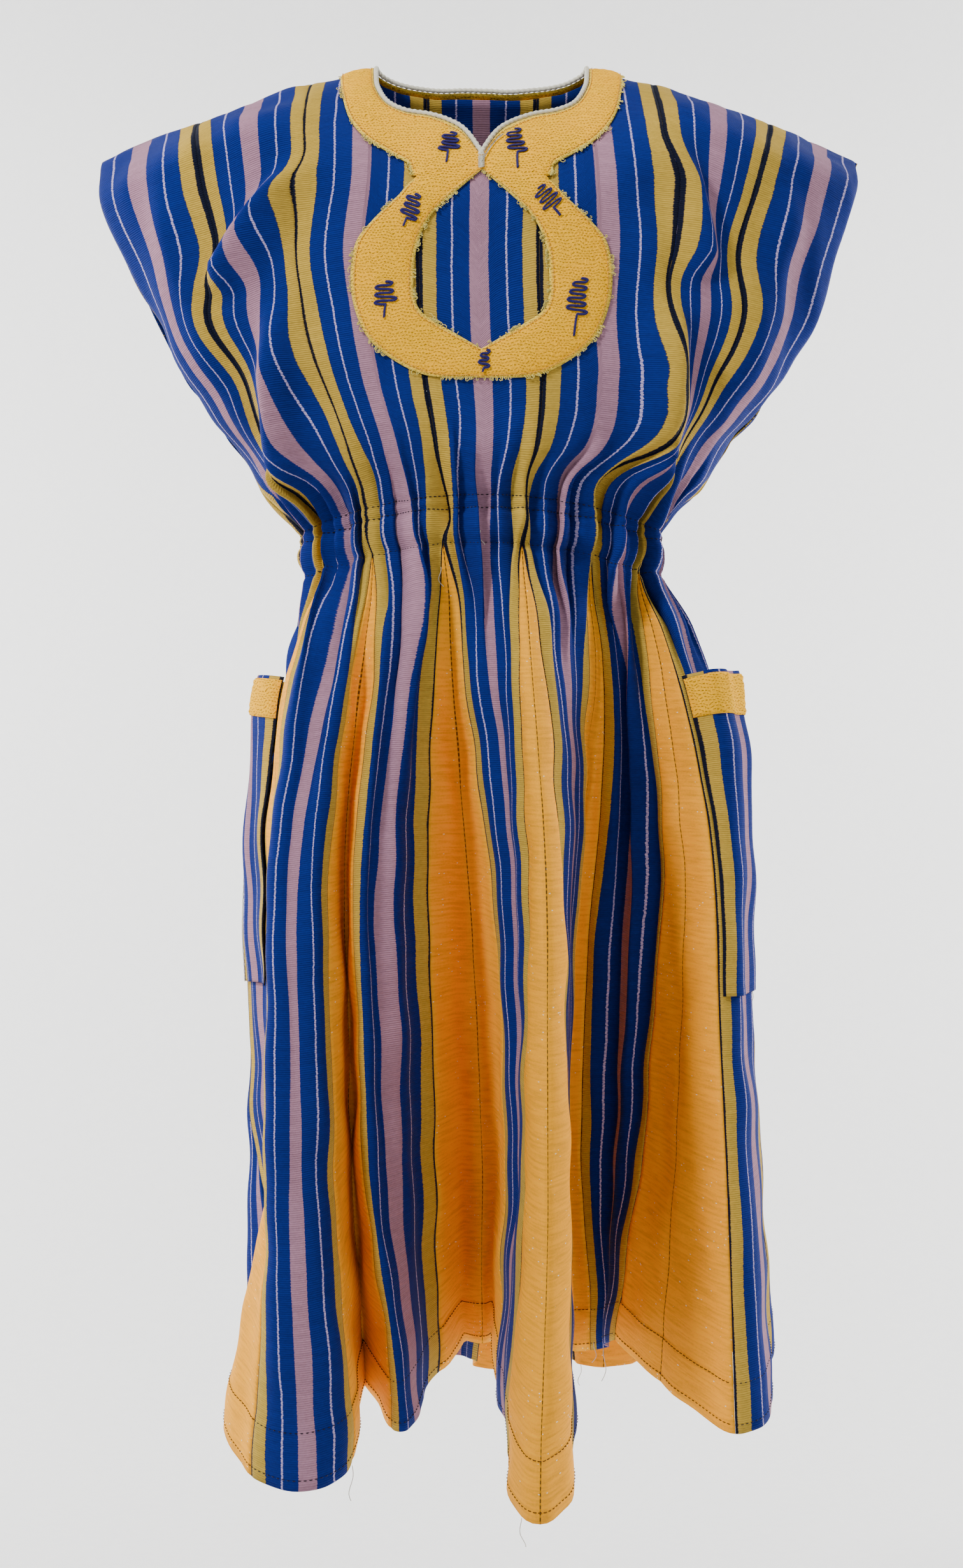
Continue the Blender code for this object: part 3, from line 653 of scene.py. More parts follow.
def surface(side, kind, index, fraction, row):
    """One point or many on the dress, before the gathers. Rows run 0 to 1 down the bodice and
    1 to 2 down the skirt."""
    row = np.asarray(row, float)
    fraction = np.asarray(fraction, float)
    start = 0 if side == "front" else PANELS
    position = start + (2 * index if kind == "strip" else 2 * index + 1) + fraction
    if kind == "strip":
        # Above the godets a place past a seam belongs to the next strip, two panels on.
        joined = (row <= 1 + GODET_TOP) & (index + fraction > 0) & (index + fraction < STRIPS)
        over = np.floor(np.clip(fraction, -0.5, 1.5) - 1e-12 * (fraction == 1))
        position = position + np.where(joined, over, 0)
    lower, lower_strength = skirt(position, np.clip(row - 1, 0.0, 1.0))
    if kind == "godet":
        return lower, lower_strength
    upper, upper_strength = bodice(side, fraction, index, np.clip(row, 0.0, 1.0))
    below = row > 1
    points = np.where(below[..., None], lower, upper)
    return points, np.where(below, lower_strength, upper_strength)


def outward_normals(side, kind, index, fraction, row):
    """The way out of the cloth, from places a little to each side and up and down."""
    step = 0.004

    def place(at, height):
        return surface(side, kind, index, at, height)[0]

    low = np.maximum(row - step, 1.0 + GODET_TOP if kind == "godet" else 0.0)
    high = np.minimum(row + step, np.where(row > 1 + GODET_TOP, 2.0, 1 + GODET_TOP))
    across = place(fraction + step, row) - place(fraction - step, row)
    normal = np.cross(place(fraction, high) - place(fraction, low), across)
    on_ridge = (row < step) & (np.abs(place(fraction, row)[..., 1]) < GAP)
    normal[..., 1] = np.where(on_ridge, 0.0, normal[..., 1])
    return unit(normal)


def front_point(x, z, side):
    """A point on the bodice from its place seen from the front, with the way out of the cloth."""
    step = 0.0004
    outward = -1.0 if side == "front" else 1.0
    z = np.minimum(z, shoulder_z(x))
    low = np.minimum(z, shoulder_z(x) - step)
    slope_x = (bodice_depth(x + step, low, side) - bodice_depth(x - step, low, side)) / (2 * step)
    slope_z = (bodice_depth(x, low, side) - bodice_depth(x, low - step, side)) / step
    normal = np.stack((-slope_x, np.full_like(x, outward), -slope_z), -1)
    return np.stack((x, outward * bodice_depth(x, z, side), z), -1), unit(normal)


def stations(table, times):
    """Rows of an edge table, with points worked out between them."""
    table = np.array(table)
    places = np.linspace(0, len(table) - 1, (len(table) - 1) * times + 1)
    return through(np.arange(len(table)), table, places)


def mirrored(half):
    """Both sides of a half outline that starts in the middle."""
    other = half[:0:-1] * np.array((-1.0, 1.0, -1.0, 1.0))
    return np.concatenate((other, half))


def between(edges, columns):
    """Rows of places from one edge to the other at each station."""
    part = np.linspace(0, 1, columns + 1)[None, :, None]
    return edges[:, None, :2] * (1 - part) + edges[:, None, 2:] * part


def rumple(points):
    """Metres that the small creases lift the cloth, the same on both sides of a seam."""
    x, y, z = points[..., 0], points[..., 1], points[..., 2]
    bend = 0.9 * np.sin(11.0 * z + 7.0 * x) + 0.5 * np.sin(23.0 * z - 9.0 * y + 1.0)
    total = 0.0
    for along_x, along_y, along_z, phase, height in CREASES:
        total = total + height * np.sin(along_x * x + along_y * y + along_z * z + phase + bend)
    levels, sides, chest = (np.array(column) for column in zip(*CREASE_LEVELS))
    middle = (1 - ease(0.10, 0.16, np.abs(x))) * (y < 0)
    share = np.interp(z, levels, sides) * (1 - middle) + np.interp(z, levels, chest) * middle
    return 0.001 * total * share


def leaning(side, points):
    """Metres sideways that the bodice's folds fall over."""
    x, z = points[..., 0], points[..., 2]
    total = 0.0 * x
    for fold, lean in zip(BODICE_FOLDS, FOLD_LEANS):
        if fold[0] == side:
            line, strength = fold_line(fold, z, 0.30, (0.80, 1.10))
            total = total + math.copysign(lean, line.flat[0]) * strength * hump(x - line, fold[-1])
    return total


def casing(above):
    """Metres that the elastic casing pulls in at its stitch rows and puffs out between them."""
    pulled = sum(hump(above - row, 0.0035) for row in ELASTIC_ROWS)
    return 0.0012 * hump(above + 0.010, 0.007) - 0.0021 * pulled


def round_count(side, index, fraction):
    """Place round the waist, counted in strips from the viewer's left side seam."""
    return index + fraction + (0 if side == "front" else STRIPS)


def beside_godets(row, fraction):
    """0 at an open seam beside a godet, 1 away from it and wherever the seam is closed."""
    open_seam = ease(1.0, 1 + GODET_TOP, row)
    return 1 - open_seam * (1 - ease(0.0, 0.14, np.minimum(fraction, 1 - fraction)))


def fine_gather(turn, above, strength):
    """Metres that the gathers lift the cloth: waves of uneven heights and lengths, longer soft
    folds that run on from some of them, and fine puckers at the elastic. The turn goes once
    round for the front and once for the back; above is the height over the waist line."""
    whole = turn * STRIPS / (2 * math.pi)
    wander = 0.040 * np.sin(3 * math.pi * whole + 1.0) + 0.022 * np.sin(8 * math.pi * whole + 2.0)
    drift = 0.05 * np.sin(9 * above + 2 * turn)
    uneven = 0.95 + 0.42 * np.sin(3 * turn + 0.7) * np.sin(2 * turn)
    uneven = uneven + 0.30 * np.sin(17 * turn + 0.4)
    tail = strength ** (1.2 + 0.6 * np.sin(12 * turn + 1.3))
    wave = tail * uneven * np.cos(GATHER_HALF_WAVES * math.pi * (whole + wander))
    soft = hump(above + 0.035, np.where(above > -0.035, 0.060, 0.115))
    soft = soft * (0.6 + 0.6 * np.sin(5 * turn + 2.2))
    folds = soft * np.cos(3 * math.pi * (whole + 1.6 * wander + drift) + 0.8 * np.sin(turn))
    puckers = hump(above + 0.006, 0.026) * np.cos(16 * math.pi * (whole + 0.3 * wander))
    return GATHER_HEIGHT * wave + FOLD_HEIGHT * folds + PUCKER_HEIGHT * puckers * np.sin(19 * turn)


def cloth_at(side, kind, index, fraction, row):
    """Points on the outer face of the sewn dress with the way out of the cloth."""
    width = STRIP if kind == "strip" else godet_width(row - 1)
    inset = np.clip(SEAM_ROOM / np.maximum(width, 0.0005), 0.0, 0.2)
    points, strength = surface(side, kind, index, inset + (1 - 2 * inset) * fraction, row)
    normal = outward_normals(side, kind, index, fraction, row)
    down = np.clip(row - 1, 0.0, 1.0)
    edge = np.minimum(fraction, 1 - fraction)
    if kind == "strip":
        turn = 2 * math.pi * round_count(side, index, fraction) / STRIPS
        above = points[..., 2] - waist_z(turn / 2)
        gathers = fine_gather(turn, above, strength) * beside_godets(row, fraction)
        depth, half_waves = PLEATS[side][index]
        share = ease(0.01, 0.16, down) * (1 - ease(0.35, 0.95, down)) + 0.25 * ease(0.3, 0.9, down)
        pleats = np.sin(math.pi * half_waves * fraction) * np.sin(math.pi * fraction) ** 0.5
        pleats = depth * share * pleats
        lean = 0.9 * np.sin(9 * turn + 14.0 * above) * (gathers + 0.6 * pleats)
        points = points + unit(np.cross((0.0, 0.0, 1.0), normal), 0.05) * lean[..., None]
        points[..., 0] += leaning(side, points) * (row < 1)
        lift = gathers + pleats + casing(above) - SEAM_DIP * hump(edge, 0.022)
    else:
        ends = [outward_normals(side, kind, index, 0 * fraction + end, row) for end in (0, 1)]
        level = ends[0] * (1 - fraction[..., None]) + ends[1] * fraction[..., None]
        wide = ease(*GODET_NARROW, width)[..., None]
        normal = unit(level * (1 - wide) + normal * wide)
        middle = hump((fraction - 0.5) * width, 0.0020) * ease(0.004, 0.02, width)
        lift = -SEAM_DIP * hump(edge * width, 0.0022) - 0.0008 * middle
    hem_left = (1 - down) * SKIRT_LONG
    lift = lift + 0.0005 * (hem_left < HEM_DEEP) - 0.0006 * hump(hem_left - HEM_DEEP, 0.002)
    return points + normal * (lift + rumple(points))[..., None], normal


def hexes(colour):
    """Linear colour from an sRGB hex value."""
    parts = [int(colour[i : i + 2], 16) / 255 for i in (1, 3, 5)]
    return (*(p / 12.92 if p <= 0.04045 else ((p + 0.055) / 1.055) ** 2.4 for p in parts), 1.0)


def add(tree, kind, inputs=None, **settings):
    """Adds a node with its settings; each input takes a value or another node's socket."""
    node = tree.nodes.new(kind)
    for name, value in settings.items():
        setattr(node, name, value)
    for name, value in (inputs or {}).items():
        if isinstance(value, bpy.types.NodeSocket):
            tree.links.new(value, node.inputs[name])
        else:
            node.inputs[name].default_value = value
    return node


def sums(tree, operation, first, second=0.0, clamp=False):
    """One step of arithmetic on sockets or numbers."""
    settings = {"operation": operation, "use_clamp": clamp}
    return add(tree, "ShaderNodeMath", {0: first, 1: second}, **settings).outputs[0]


def tinted(tree, colour, factor):
    """The colour times a grey of that brightness."""
    grey = add(tree, "ShaderNodeCombineColor", {0: factor, 1: factor, 2: factor})
    return blended(tree, 1.0, colour, grey.outputs[0], "MULTIPLY")


def mixture(tree, base, *shares):
    """The base plus each socket times its share."""
    for socket, share in shares:
        base = sums(tree, "ADD", base, sums(tree, "MULTIPLY", socket, share))
    return base


def waves(tree, place, long):
    """A sine that repeats after that many millimetres."""
    return sums(tree, "SINE", sums(tree, "MULTIPLY", place, 2 * math.pi / long))


def grain(tree, spot, scale, detail, distortion=0.0):
    """Noise in space, 0 to 1, with that many grains to the metre."""
    inputs = {"Vector": spot, "Scale": scale, "Detail": detail, "Distortion": distortion}
    return add(tree, "ShaderNodeTexNoise", inputs).outputs["Fac"]


def blended(tree, factor, first, second, way="MIX"):
    """The second colour over the first, as far as the factor says."""
    inputs = {0: factor, 6: first, 7: second}
    return add(tree, "ShaderNodeMix", inputs, data_type="RGBA", blend_type=way).outputs[2]


def new_finish(name, roughness, sheen, sheen_roughness):
    """A new material with its node tree and its shader."""
    found = bpy.data.materials.new(name)
    found.use_nodes = True
    shader = found.node_tree.nodes["Principled BSDF"]
    shader.inputs["Roughness"].default_value = roughness
    shader.inputs["Sheen Weight"].default_value = sheen
    shader.inputs["Sheen Roughness"].default_value = sheen_roughness
    shader.inputs["Specular IOR Level"].default_value = CLOTH_GLOSS
    return found, found.node_tree, shader


def places(tree):
    """Where a point lies on the flat cloth, in mm across and down."""
    across = add(tree, "ShaderNodeAttribute", attribute_name="across").outputs["Fac"]
    down = add(tree, "ShaderNodeAttribute", attribute_name="down").outputs["Fac"]
    return across, down


def finished(found, colour, height, strength, distance):
    """Gives a material its colour and its small heights, and hands it back."""
    tree = found.node_tree
    shader = tree.nodes["Principled BSDF"]
    inputs = {"Height": height, "Strength": strength, "Distance": distance}
    tree.links.new(colour, shader.inputs["Base Color"])
    tree.links.new(add(tree, "ShaderNodeBump", inputs).outputs[0], shader.inputs["Normal"])
    return found


def speckle(tree, across, down, per_mm_across, per_mm_down, detail=0.0, shift=0.0):
    """Noise on the flat cloth, 0 to 1, with that many grains to the millimetre each way."""
    x = sums(tree, "MULTIPLY", across, per_mm_across)
    y = sums(tree, "MULTIPLY", down, per_mm_down)
    spot = add(tree, "ShaderNodeCombineXYZ", {0: x, 1: y, 2: shift})
    return grain(tree, spot.outputs[0], 1.0, detail)


def striped_cloth(name, sizes):
    """Hand-woven cotton rep: warp stripes under a ribbed weft. The ribs are 1.2 mm in the real
    cloth and are drawn coarser, because finer ones don't show at this size."""
    yarns = {yarn: getattr(sizes, yarn) for yarn in ("navy", "yellow", "blue", "white", "pink")}
    yarns.update(brown="#4a3f3a", plum="#3d3a74")
    found, tree, _ = new_finish(name, 0.88, 0.05, 0.4)
    across, down = places(tree)
    # The warp threads wander a little, which serrates each stripe's edge rib by rib.
    saw = speckle(tree, across, down, 0.05, 0.85)
    slow = speckle(tree, across, down, 0.02, 0.045, shift=7.0)
    moved = sums(tree, "SUBTRACT", mixture(tree, across, (saw, 1.3), (slow, 0.9)), 1.1)
    part = sums(tree, "DIVIDE", moved, STRIP_MM, True)

    def stripes(colours):
        """A colour ramp with one flat step for each stripe."""
        ramp = add(tree, "ShaderNodeValToRGB", {0: part})
        steps = ramp.color_ramp.elements
        ramp.color_ramp.interpolation = "CONSTANT"
        while len(steps) < len(STRIPES):
            steps.new(0.5)
        for count, (start, yarn) in enumerate(STRIPES):
            steps[count].position = start / STRIP_MM
            steps[count].color = hexes(colours[yarn])
        return ramp.outputs[0]

    woven = stripes(yarns)
    white = stripes({yarn: "#ffffff" if yarn == "white" else "#000000" for yarn in yarns})
    # The white warp floats over two ribs and dips under the next, like a small rope.
    rope = sums(tree, "GREATER_THAN", waves(tree, down, 2 * DRAWN_RIB), 0.35)
    dips = sums(tree, "MULTIPLY", sums(tree, "MULTIPLY", white, rope), 0.40)
    colour = blended(tree, dips, woven, hexes("#4a55a8"))
    rib = waves(tree, down, DRAWN_RIB)
    thread = speckle(tree, across, down, 0.35, 0.48, 1.0, 3.0)
    slub = speckle(tree, across, down, 0.035, 0.25, 2.0, 11.0)
    fade = speckle(tree, across, down, 0.010, 0.006, 1.0, 5.0)
    light = mixture(tree, 0.51, (rib, 0.085), (thread, 0.36), (slub, 0.38), (fade, 0.24))
    height = mixture(tree, 0.0, (rib, 0.5), (thread, 0.9))
    return finished(found, tinted(tree, colour, light), height, 0.55, 0.0005)


def godet_cloth(name, sizes):
    """Orange cotton with uneven weft and a glittering thread: streaks across, and small bright
    flecks of painted glint where the metallised thread turns up. A dark seam joins its two halves."""
    found, tree, shader = new_finish(name, 0.80, 0.0, 0.4)
    across, down = places(tree)
    streak = speckle(tree, across, down, 0.03, 0.42, 2.0)
    thread = speckle(tree, across, down, 0.45, 0.60, 1.0, 4.0)
    fade = speckle(tree, across, down, 0.012, 0.008, 1.0, 9.0)
    light = mixture(tree, 0.42, (streak, 0.68), (thread, 0.22), (fade, 0.18))
    colour = tinted(tree, hexes(sizes.orange), light)
    # The painted glints are drawn larger than the thread's flecks, and lie in some patches more
    # than in others.
    flat = add(tree, "ShaderNodeCombineXYZ", {0: sums(tree, "MULTIPLY", across, 0.40), 1: down})
    glint_spots = add(tree, "ShaderNodeTexVoronoi", {"Vector": flat.outputs[0], "Scale": 0.36}).outputs
    near = sums(tree, "LESS_THAN", glint_spots["Distance"], 0.15)
    patches = speckle(tree, across, down, 0.030, 0.016, 1.0, 21.0)
    some = sums(tree, "GREATER_THAN", sums(tree, "MULTIPLY", glint_spots["Color"], patches), 0.36)
    painted_glints = sums(tree, "MULTIPLY", near, some)
    # Painted glints: pale cream over the orange at the chosen spots, standing in for light caught
    # by the metallised thread.
    colour = blended(tree, painted_glints, colour, hexes("#fff2d0"))
    seam = sums(tree, "LESS_THAN", sums(tree, "ABSOLUTE", across), 0.75)
    stitch = sums(tree, "GREATER_THAN", waves(tree, down, 4.6), -0.35)
    dark = mixture(tree, 0.0, (seam, 0.45), (sums(tree, "MULTIPLY", seam, stitch), 0.45))
    colour = blended(tree, dark, colour, hexes("#3a2418"))
    tree.links.new(mixture(tree, 0.80, (painted_glints, -0.55)), shader.inputs["Roughness"])
    return finished(found, colour, mixture(tree, 0.0, (streak, 1.2), (thread, 0.8)), 0.5, 0.0005)


def quilted_cloth(name, sizes):
    """Yellow terry-like cotton, machine quilted in short wandering rows 2.7 mm apart: a nubby pile
    with dents at the stitches that are painted darker as shade, and paler greenish loops along its
    cut edges."""
    found, tree, _ = new_finish(name, 0.95, 0.0, 0.5)
    spot = add(tree, "ShaderNodeTexCoord").outputs["Object"]
    across, _ = places(tree)
    axes = add(tree, "ShaderNodeSeparateXYZ", {0: spot}).outputs
    pile = grain(tree, spot, 560.0, 2.0, 0.5)
    sway = grain(tree, spot, 120.0, 1.0)
    fade = grain(tree, spot, 38.0, 2.0)
    rows = mixture(tree, 0.0, (axes[2], 1000 / 2.7), (sway, 2.6))
    off = sums(tree, "ABSOLUTE", sums(tree, "SUBTRACT", sums(tree, "FRACT", rows), 0.5))
    dent_and_painted_shade = sums(tree, "SUBTRACT", 1.0, sums(tree, "DIVIDE", off, 0.20), True)
    row = sums(tree, "FLOOR", rows)
    ticks = mixture(tree, 0.0, (axes[0], 1000 / 2.9), (row, 0.37), (sway, 1.5))
    sewn = sums(tree, "GREATER_THAN", sums(tree, "FRACT", ticks), 0.38)
    dent_and_painted_shade = sums(tree, "MULTIPLY", dent_and_painted_shade, sewn)
    # Painted shade: the stitch dents darken the colour here, and the same mask also sinks them in
    # the bump.
    light = mixture(tree, 0.68, (pile, 0.56), (fade, 0.24), (dent_and_painted_shade, -0.25))
    edge = sums(tree, "MINIMUM", across, sums(tree, "SUBTRACT", COLLAR_MM, across))
    rim = sums(tree, "SUBTRACT", 1.0, sums(tree, "DIVIDE", edge, 3.2), True)
    colour = blended(tree, fade, hexes(sizes.collar), hexes("#ffb204"))
    colour = blended(tree, sums(tree, "MULTIPLY", rim, 0.75), colour, hexes("#e2d45e"))
    height = mixture(tree, pile, (dent_and_painted_shade, -0.9))
    return finished(found, tinted(tree, colour, light), height, 0.9, 0.0013)


def thread_finish(name, colour, roughness, sheen):
    """Sewing thread: twisted cotton or polyester, with fine slanting plies that vary its shade."""
    found, tree, _ = new_finish(name, roughness, sheen, 0.4)
    plies = grain(tree, add(tree, "ShaderNodeTexCoord").outputs["Object"], 900.0, 1.0)
    light = mixture(tree, 0.72, (plies, 0.55))
    return finished(found, tinted(tree, hexes(colour), light), plies, 0.4, 0.0002)


def finish_named(name, maker, *values):
    """The material of that name, made by its maker where it isn't there yet."""
    return bpy.data.materials.get(name) or maker(name, *values)


def linked(name, data, location=(0.0, 0.0, 0.0), turned=(0.0, 0.0, 0.0)):
    """A new object in the scene."""
    made = bpy.data.objects.new(name, data)
    made.location, made.rotation_euler = location, turned
    bpy.context.scene.collection.objects.link(made)
    return made


def new_mesh(name, points, faces, finish):
    mesh = bpy.data.meshes.new(name)
    mesh.from_pydata(np.asarray(points).reshape(-1, 3).tolist(), [], faces)
    mesh.polygons.foreach_set("use_smooth", [True] * len(mesh.polygons))
    mesh.materials.append(finish)
    return mesh


def piece(name, points, faces, finish, marks=None):
    """A mesh piece in the row's frame that rides on the dress."""
    mesh = new_mesh(name, points, faces, finish)
    for label, values in (marks or {}).items():
        mark = mesh.attributes.new(label, "FLOAT", "POINT")
        mark.data.foreach_set("value", np.asarray(values, np.float32).ravel())
    made = linked(name, mesh)
    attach(made, "root")
    return made


def flipped(faces, shift):
    """The same faces seen from behind, on points that come so much later in the list."""
    return [[i + shift for i in face[::-1]] for face in faces]


def sheet_faces(rows, columns, closed=False):
    """Quads over a grid of points; a closed sheet joins its last row to the first."""
    start = np.arange((rows - 1) * columns).reshape(rows - 1, columns)[:, :-1].ravel()
    faces = np.stack((start, start + columns, start + columns + 1, start + 1), -1).tolist()
    if closed:
        last = (rows - 1) * columns
        faces += [[last + i, i, i + 1, last + i + 1] for i in range(columns - 1)]
    return faces


def thin_cloth(name, points, normal, finish, across, down, thick, closed=False):
    """Cloth with a thickness from a grid of points: an outer face, an inner face and the edges."""
    rows, columns = points.shape[:2]
    count = rows * columns
    faces = sheet_faces(rows, columns, closed)
    faces += flipped(faces, count)
    grid = np.arange(count).reshape(rows, columns)
    edges = [grid[:, 0], grid[::-1, -1]]
    if not closed:
        edges = [np.concatenate((grid[:, 0], grid[-1, 1:], grid[-2::-1, -1], grid[0, -2:0:-1]))]
    for edge in edges:
        after = np.roll(edge, -1)
        faces += np.stack((edge, edge + count, after + count, after), -1).tolist()
    both = np.concatenate((points.reshape(-1, 3), (points - normal * thick).reshape(-1, 3)))
    marks = {"across": np.tile(across.ravel(), 2), "down": np.tile(down.ravel(), 2)}
    return piece(name, both, faces, finish, marks)


def lengths_down(points):
    """Millimetres down the cloth at each row, along the middle of the panel."""
    return 1000 * walked(points[:, points.shape[1] // 2])


def strip_rows(fine):
    """Rows of a strip from its top to the hem, closest together at the waist."""
    bodice_part = 1 - (1 - np.linspace(0, 1, int(86 * fine))) ** 1.25
    skirt_part = np.linspace(0, 1, int(124 * fine)) ** 1.2
    return np.concatenate((bodice_part, 1 + skirt_part[1:]))


def panel_grid(rows, columns):
    """Places across a panel and the rows given, as two grids."""
    fraction = np.linspace(0, 1, columns + 1)
    return np.meshgrid(fraction, rows)


def strip_marks(side, index, fraction, row, points):
    """Where the strip's cloth places lie: seams take up the navy edge, and the sleeve's outer
    stripe is turned in above the underarm."""
    takes = []
    beside = ease(1 + GODET_TOP, 1.10, row)
    above = 1 - ease(0.80, 0.93, row)
    for end, hidden in zip((0, 1), SKIRT_TAKES[side][index]):
        seam = (index + end - HALF_STRIPS) * (1 if side == "front" else -1)
        take = SLEEVE_TURN * above
        if abs(seam) < HALF_STRIPS:
            take = SEAM_TAKE.get(int(math.copysign(round(abs(seam) + 0.5), seam)), -0.1)
        takes.append(take * (1 - beside) + hidden * beside)
    across = takes[0] + (STRIP_MM - takes[0] - takes[1]) * fraction
    return across, lengths_down(points)[:, None] + 0 * fraction


def tube(path, radius, sides=6, closed=False, swell=None):
    """Points and faces of a round cord along a path."""
    path = np.asarray(path, float)
    if closed:
        tangent = np.roll(path, -1, 0) - np.roll(path, 1, 0)
    else:
        tangent = np.gradient(path, axis=0)
    tangent = unit(tangent, 1e-9)
    first = unit(np.cross(tangent, np.array((0.13, -1.0, 0.21))), 1e-9)
    second = np.cross(tangent, first)
    turn = np.linspace(0, 2 * math.pi, sides, endpoint=False)
    reach = radius * (swell(len(path), turn) if swell else np.ones((len(path), sides)))
    ring = np.cos(turn)[:, None] * first[:, None] + np.sin(turn)[:, None] * second[:, None]
    points = path[:, None] + ring * reach[..., None]
    faces = []
    for i in range(len(path) if closed else len(path) - 1):
        a, b = i * sides, ((i + 1) % len(path)) * sides
        faces += [[a + k, a + (k + 1) % sides, b + (k + 1) % sides, b + k] for k in range(sides)]
    if not closed:
        faces += [list(range(sides))[::-1], [(len(path) - 1) * sides + k for k in range(sides)]]
    return points.reshape(-1, 3), faces


def cords(name, paths, radius, finish, sides=5):
    """Many short cords as one piece."""
    points, faces, count = [], [], 0
    for path in paths:
        more, ends = tube(path, radius, sides)
        points.append(more)
        faces += [[i + count for i in face] for face in ends]
        count += len(more)
    return piece(name, np.concatenate(points), faces, finish)


def stitches(line, normal, long, gap, lift):
    """Short arched paths along a line: the stitches of one row of machine sewing."""
    lengths = walked(line)
    arch = lift * np.array((-0.6, 1.0, -0.6))[:, None]
    paths = []
    for start in np.arange(0.0, lengths[-1] - long, long + gap):
        at = start + long * np.array((0.0, 0.5, 1.0))
        paths.append(read_at(lengths, line, at) + read_at(lengths, normal, at) * arch)
    return paths


def on_chest(x, z, side, clear):
    """A point on what is sewn to the bodice, that far out of the cloth."""
    point, normal = front_point(np.asarray(x, float), np.asarray(z, float), side)
    return point + normal * (clear + rumple(point))[..., None], normal


def collar_joint(node, edges):
    """1 at the stations whose outer edge is sewn to the other part of the collar, else 0, and
    whether that edge is the first of the two."""
    if node == "collar_loop":
        return (1 - ease(0.050, 0.056, np.abs(edges[:, 0]))) * (edges[:, 1] > -0.20), True
    if node == "collar_band":
        return (1 - ease(0.050, 0.056, np.abs(edges[:, 2]))) * (edges[:, 3] < -0.09), False
    return np.zeros(len(edges)), False


def panels(kind):
    """Side and index of every strip or godet, first those of the front."""
    count = STRIPS if kind == "strip" else STRIPS - 1
    return [(side, index) for side in ("front", "back") for index in range(count)]


def length_choice(label, about, metres):
    return bpy.props.FloatProperty(name=label, description=about, default=metres, unit="LENGTH")


def colour_choice(label, colour):
    return bpy.props.StringProperty(name=label, description="sRGB hex colour", default=colour)


def dress_sizes():
    return bpy.context.scene.dress_sizes


class DressSizes(bpy.types.PropertyGroup):
    """Sizes and colours of the dress that a user would change."""

    fineness: bpy.props.FloatProperty(
        name="Fineness",
        description="Share of the full number of rows in each panel",
        default=1.0,
        min=0.3,
        max=1.2,
    )
    cloth_thickness: length_choice("Cloth thickness", "Thickness of one layer of cloth", 0.0011)
    collar_rise: length_choice("Collar rise", "How far the quilting stands off its edges", 0.0024)
    stitch_length: length_choice("Stitch length", "Length of one machine stitch", 0.0030)
    blue: colour_choice("Blue yarn", "#072173")
    navy: colour_choice("Navy yarn", "#0d1226")
    white: colour_choice("White yarn", "#b8a8d0")
    pink: colour_choice("Pink yarn", "#a47b8e")
    yellow: colour_choice("Yellow yarn", "#bd9b3c")
    orange: colour_choice("Orange cloth", "#ffac18")
    collar: colour_choice("Collar cloth", "#ffc000")
    binding: colour_choice("Binding", "#dad6c2")
    thread: colour_choice("Dark thread", "#1c1a24")
    embroidery: colour_choice("Embroidery", "#262060")


class DRESS_OT_strips(bpy.types.Operator):
    """Makes the fourteen woven strips"""

    bl_idname = "dress.strips"
    bl_label = "Strips"

    def execute(self, context):
        sizes = dress_sizes()
        thick = sizes.cloth_thickness
        finish = finish_named(STRIPED, striped_cloth, sizes)
        rows = strip_rows(sizes.fineness)
        for side, index in panels("strip"):
            fraction, row = panel_grid(rows, int(44 * sizes.fineness))
            points, normal = cloth_at(side, "strip", index, fraction, row)
            across, down = strip_marks(side, index, fraction, row, points)
            node = f"{side}_strip_{index + 1}"
            made = thin_cloth(f"woven_{node}", points, normal, finish, across, down, thick)
            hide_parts(node)
        return {"FINISHED"}


class DRESS_OT_godets(bpy.types.Operator):
    """Makes the twelve godets"""

    bl_idname = "dress.godets"
    bl_label = "Godets"

    def execute(self, context):
        sizes = dress_sizes()
        thick = sizes.cloth_thickness
        finish = finish_named(ORANGE, godet_cloth, sizes)
        rows = np.linspace(0, 1, int(120 * sizes.fineness)) ** 1.1
        rows = 1 + GODET_TOP + 0.001 + (0.999 - GODET_TOP) * rows
        for side, index in panels("godet"):
            fraction, row = panel_grid(rows, int(26 * sizes.fineness) // 2 * 2)
            points, normal = cloth_at(side, "godet", index, fraction, row)
            across = (fraction - 0.5) * 1000 * godet_width(row - 1)
            down = lengths_down(points)[:, None] + 0 * fraction
            node = f"{side}_godet_{index + 1}"
            made = thin_cloth(f"sewn_{node}", points, normal, finish, across, down, thick)
            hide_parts(node)
        return {"FINISHED"}


class DRESS_OT_hem(bpy.types.Operator):
    """Makes the cloth turned up inside the hem"""

    bl_idname = "dress.hem"
    bl_label = "Hem"

    def execute(self, context):
        sizes = dress_sizes()
        rows = 1 + np.linspace(1 - HEM_DEEP / SKIRT_LONG, 1.0, 9)
        inside = sizes.cloth_thickness + 0.0004
        for kind, finish, middle in (
            ("strip", finish_named(STRIPED, striped_cloth, sizes), 0.0),
            ("godet", finish_named(ORANGE, godet_cloth, sizes), 0.5),
        ):
            found, faces, across, down = [], [], [], []
            for side, index in panels(kind):
                fraction, row = panel_grid(rows, 20)
                points, normal = cloth_at(side, kind, index, fraction, row)
                faces += flipped(sheet_faces(*row.shape), len(found) * row.size)
                found.append(points - normal * inside)
                width = STRIP_MM if kind == "strip" else 1000 * godet_width(row - 1)
                across.append((fraction - middle) * width)
                down.append((row - 1) * 1000 * SKIRT_LONG)
            marks = {"across": across, "down": down}
            piece(f"hem_turned_up_{kind}s", found, faces, finish, marks)
        return {"FINISHED"}


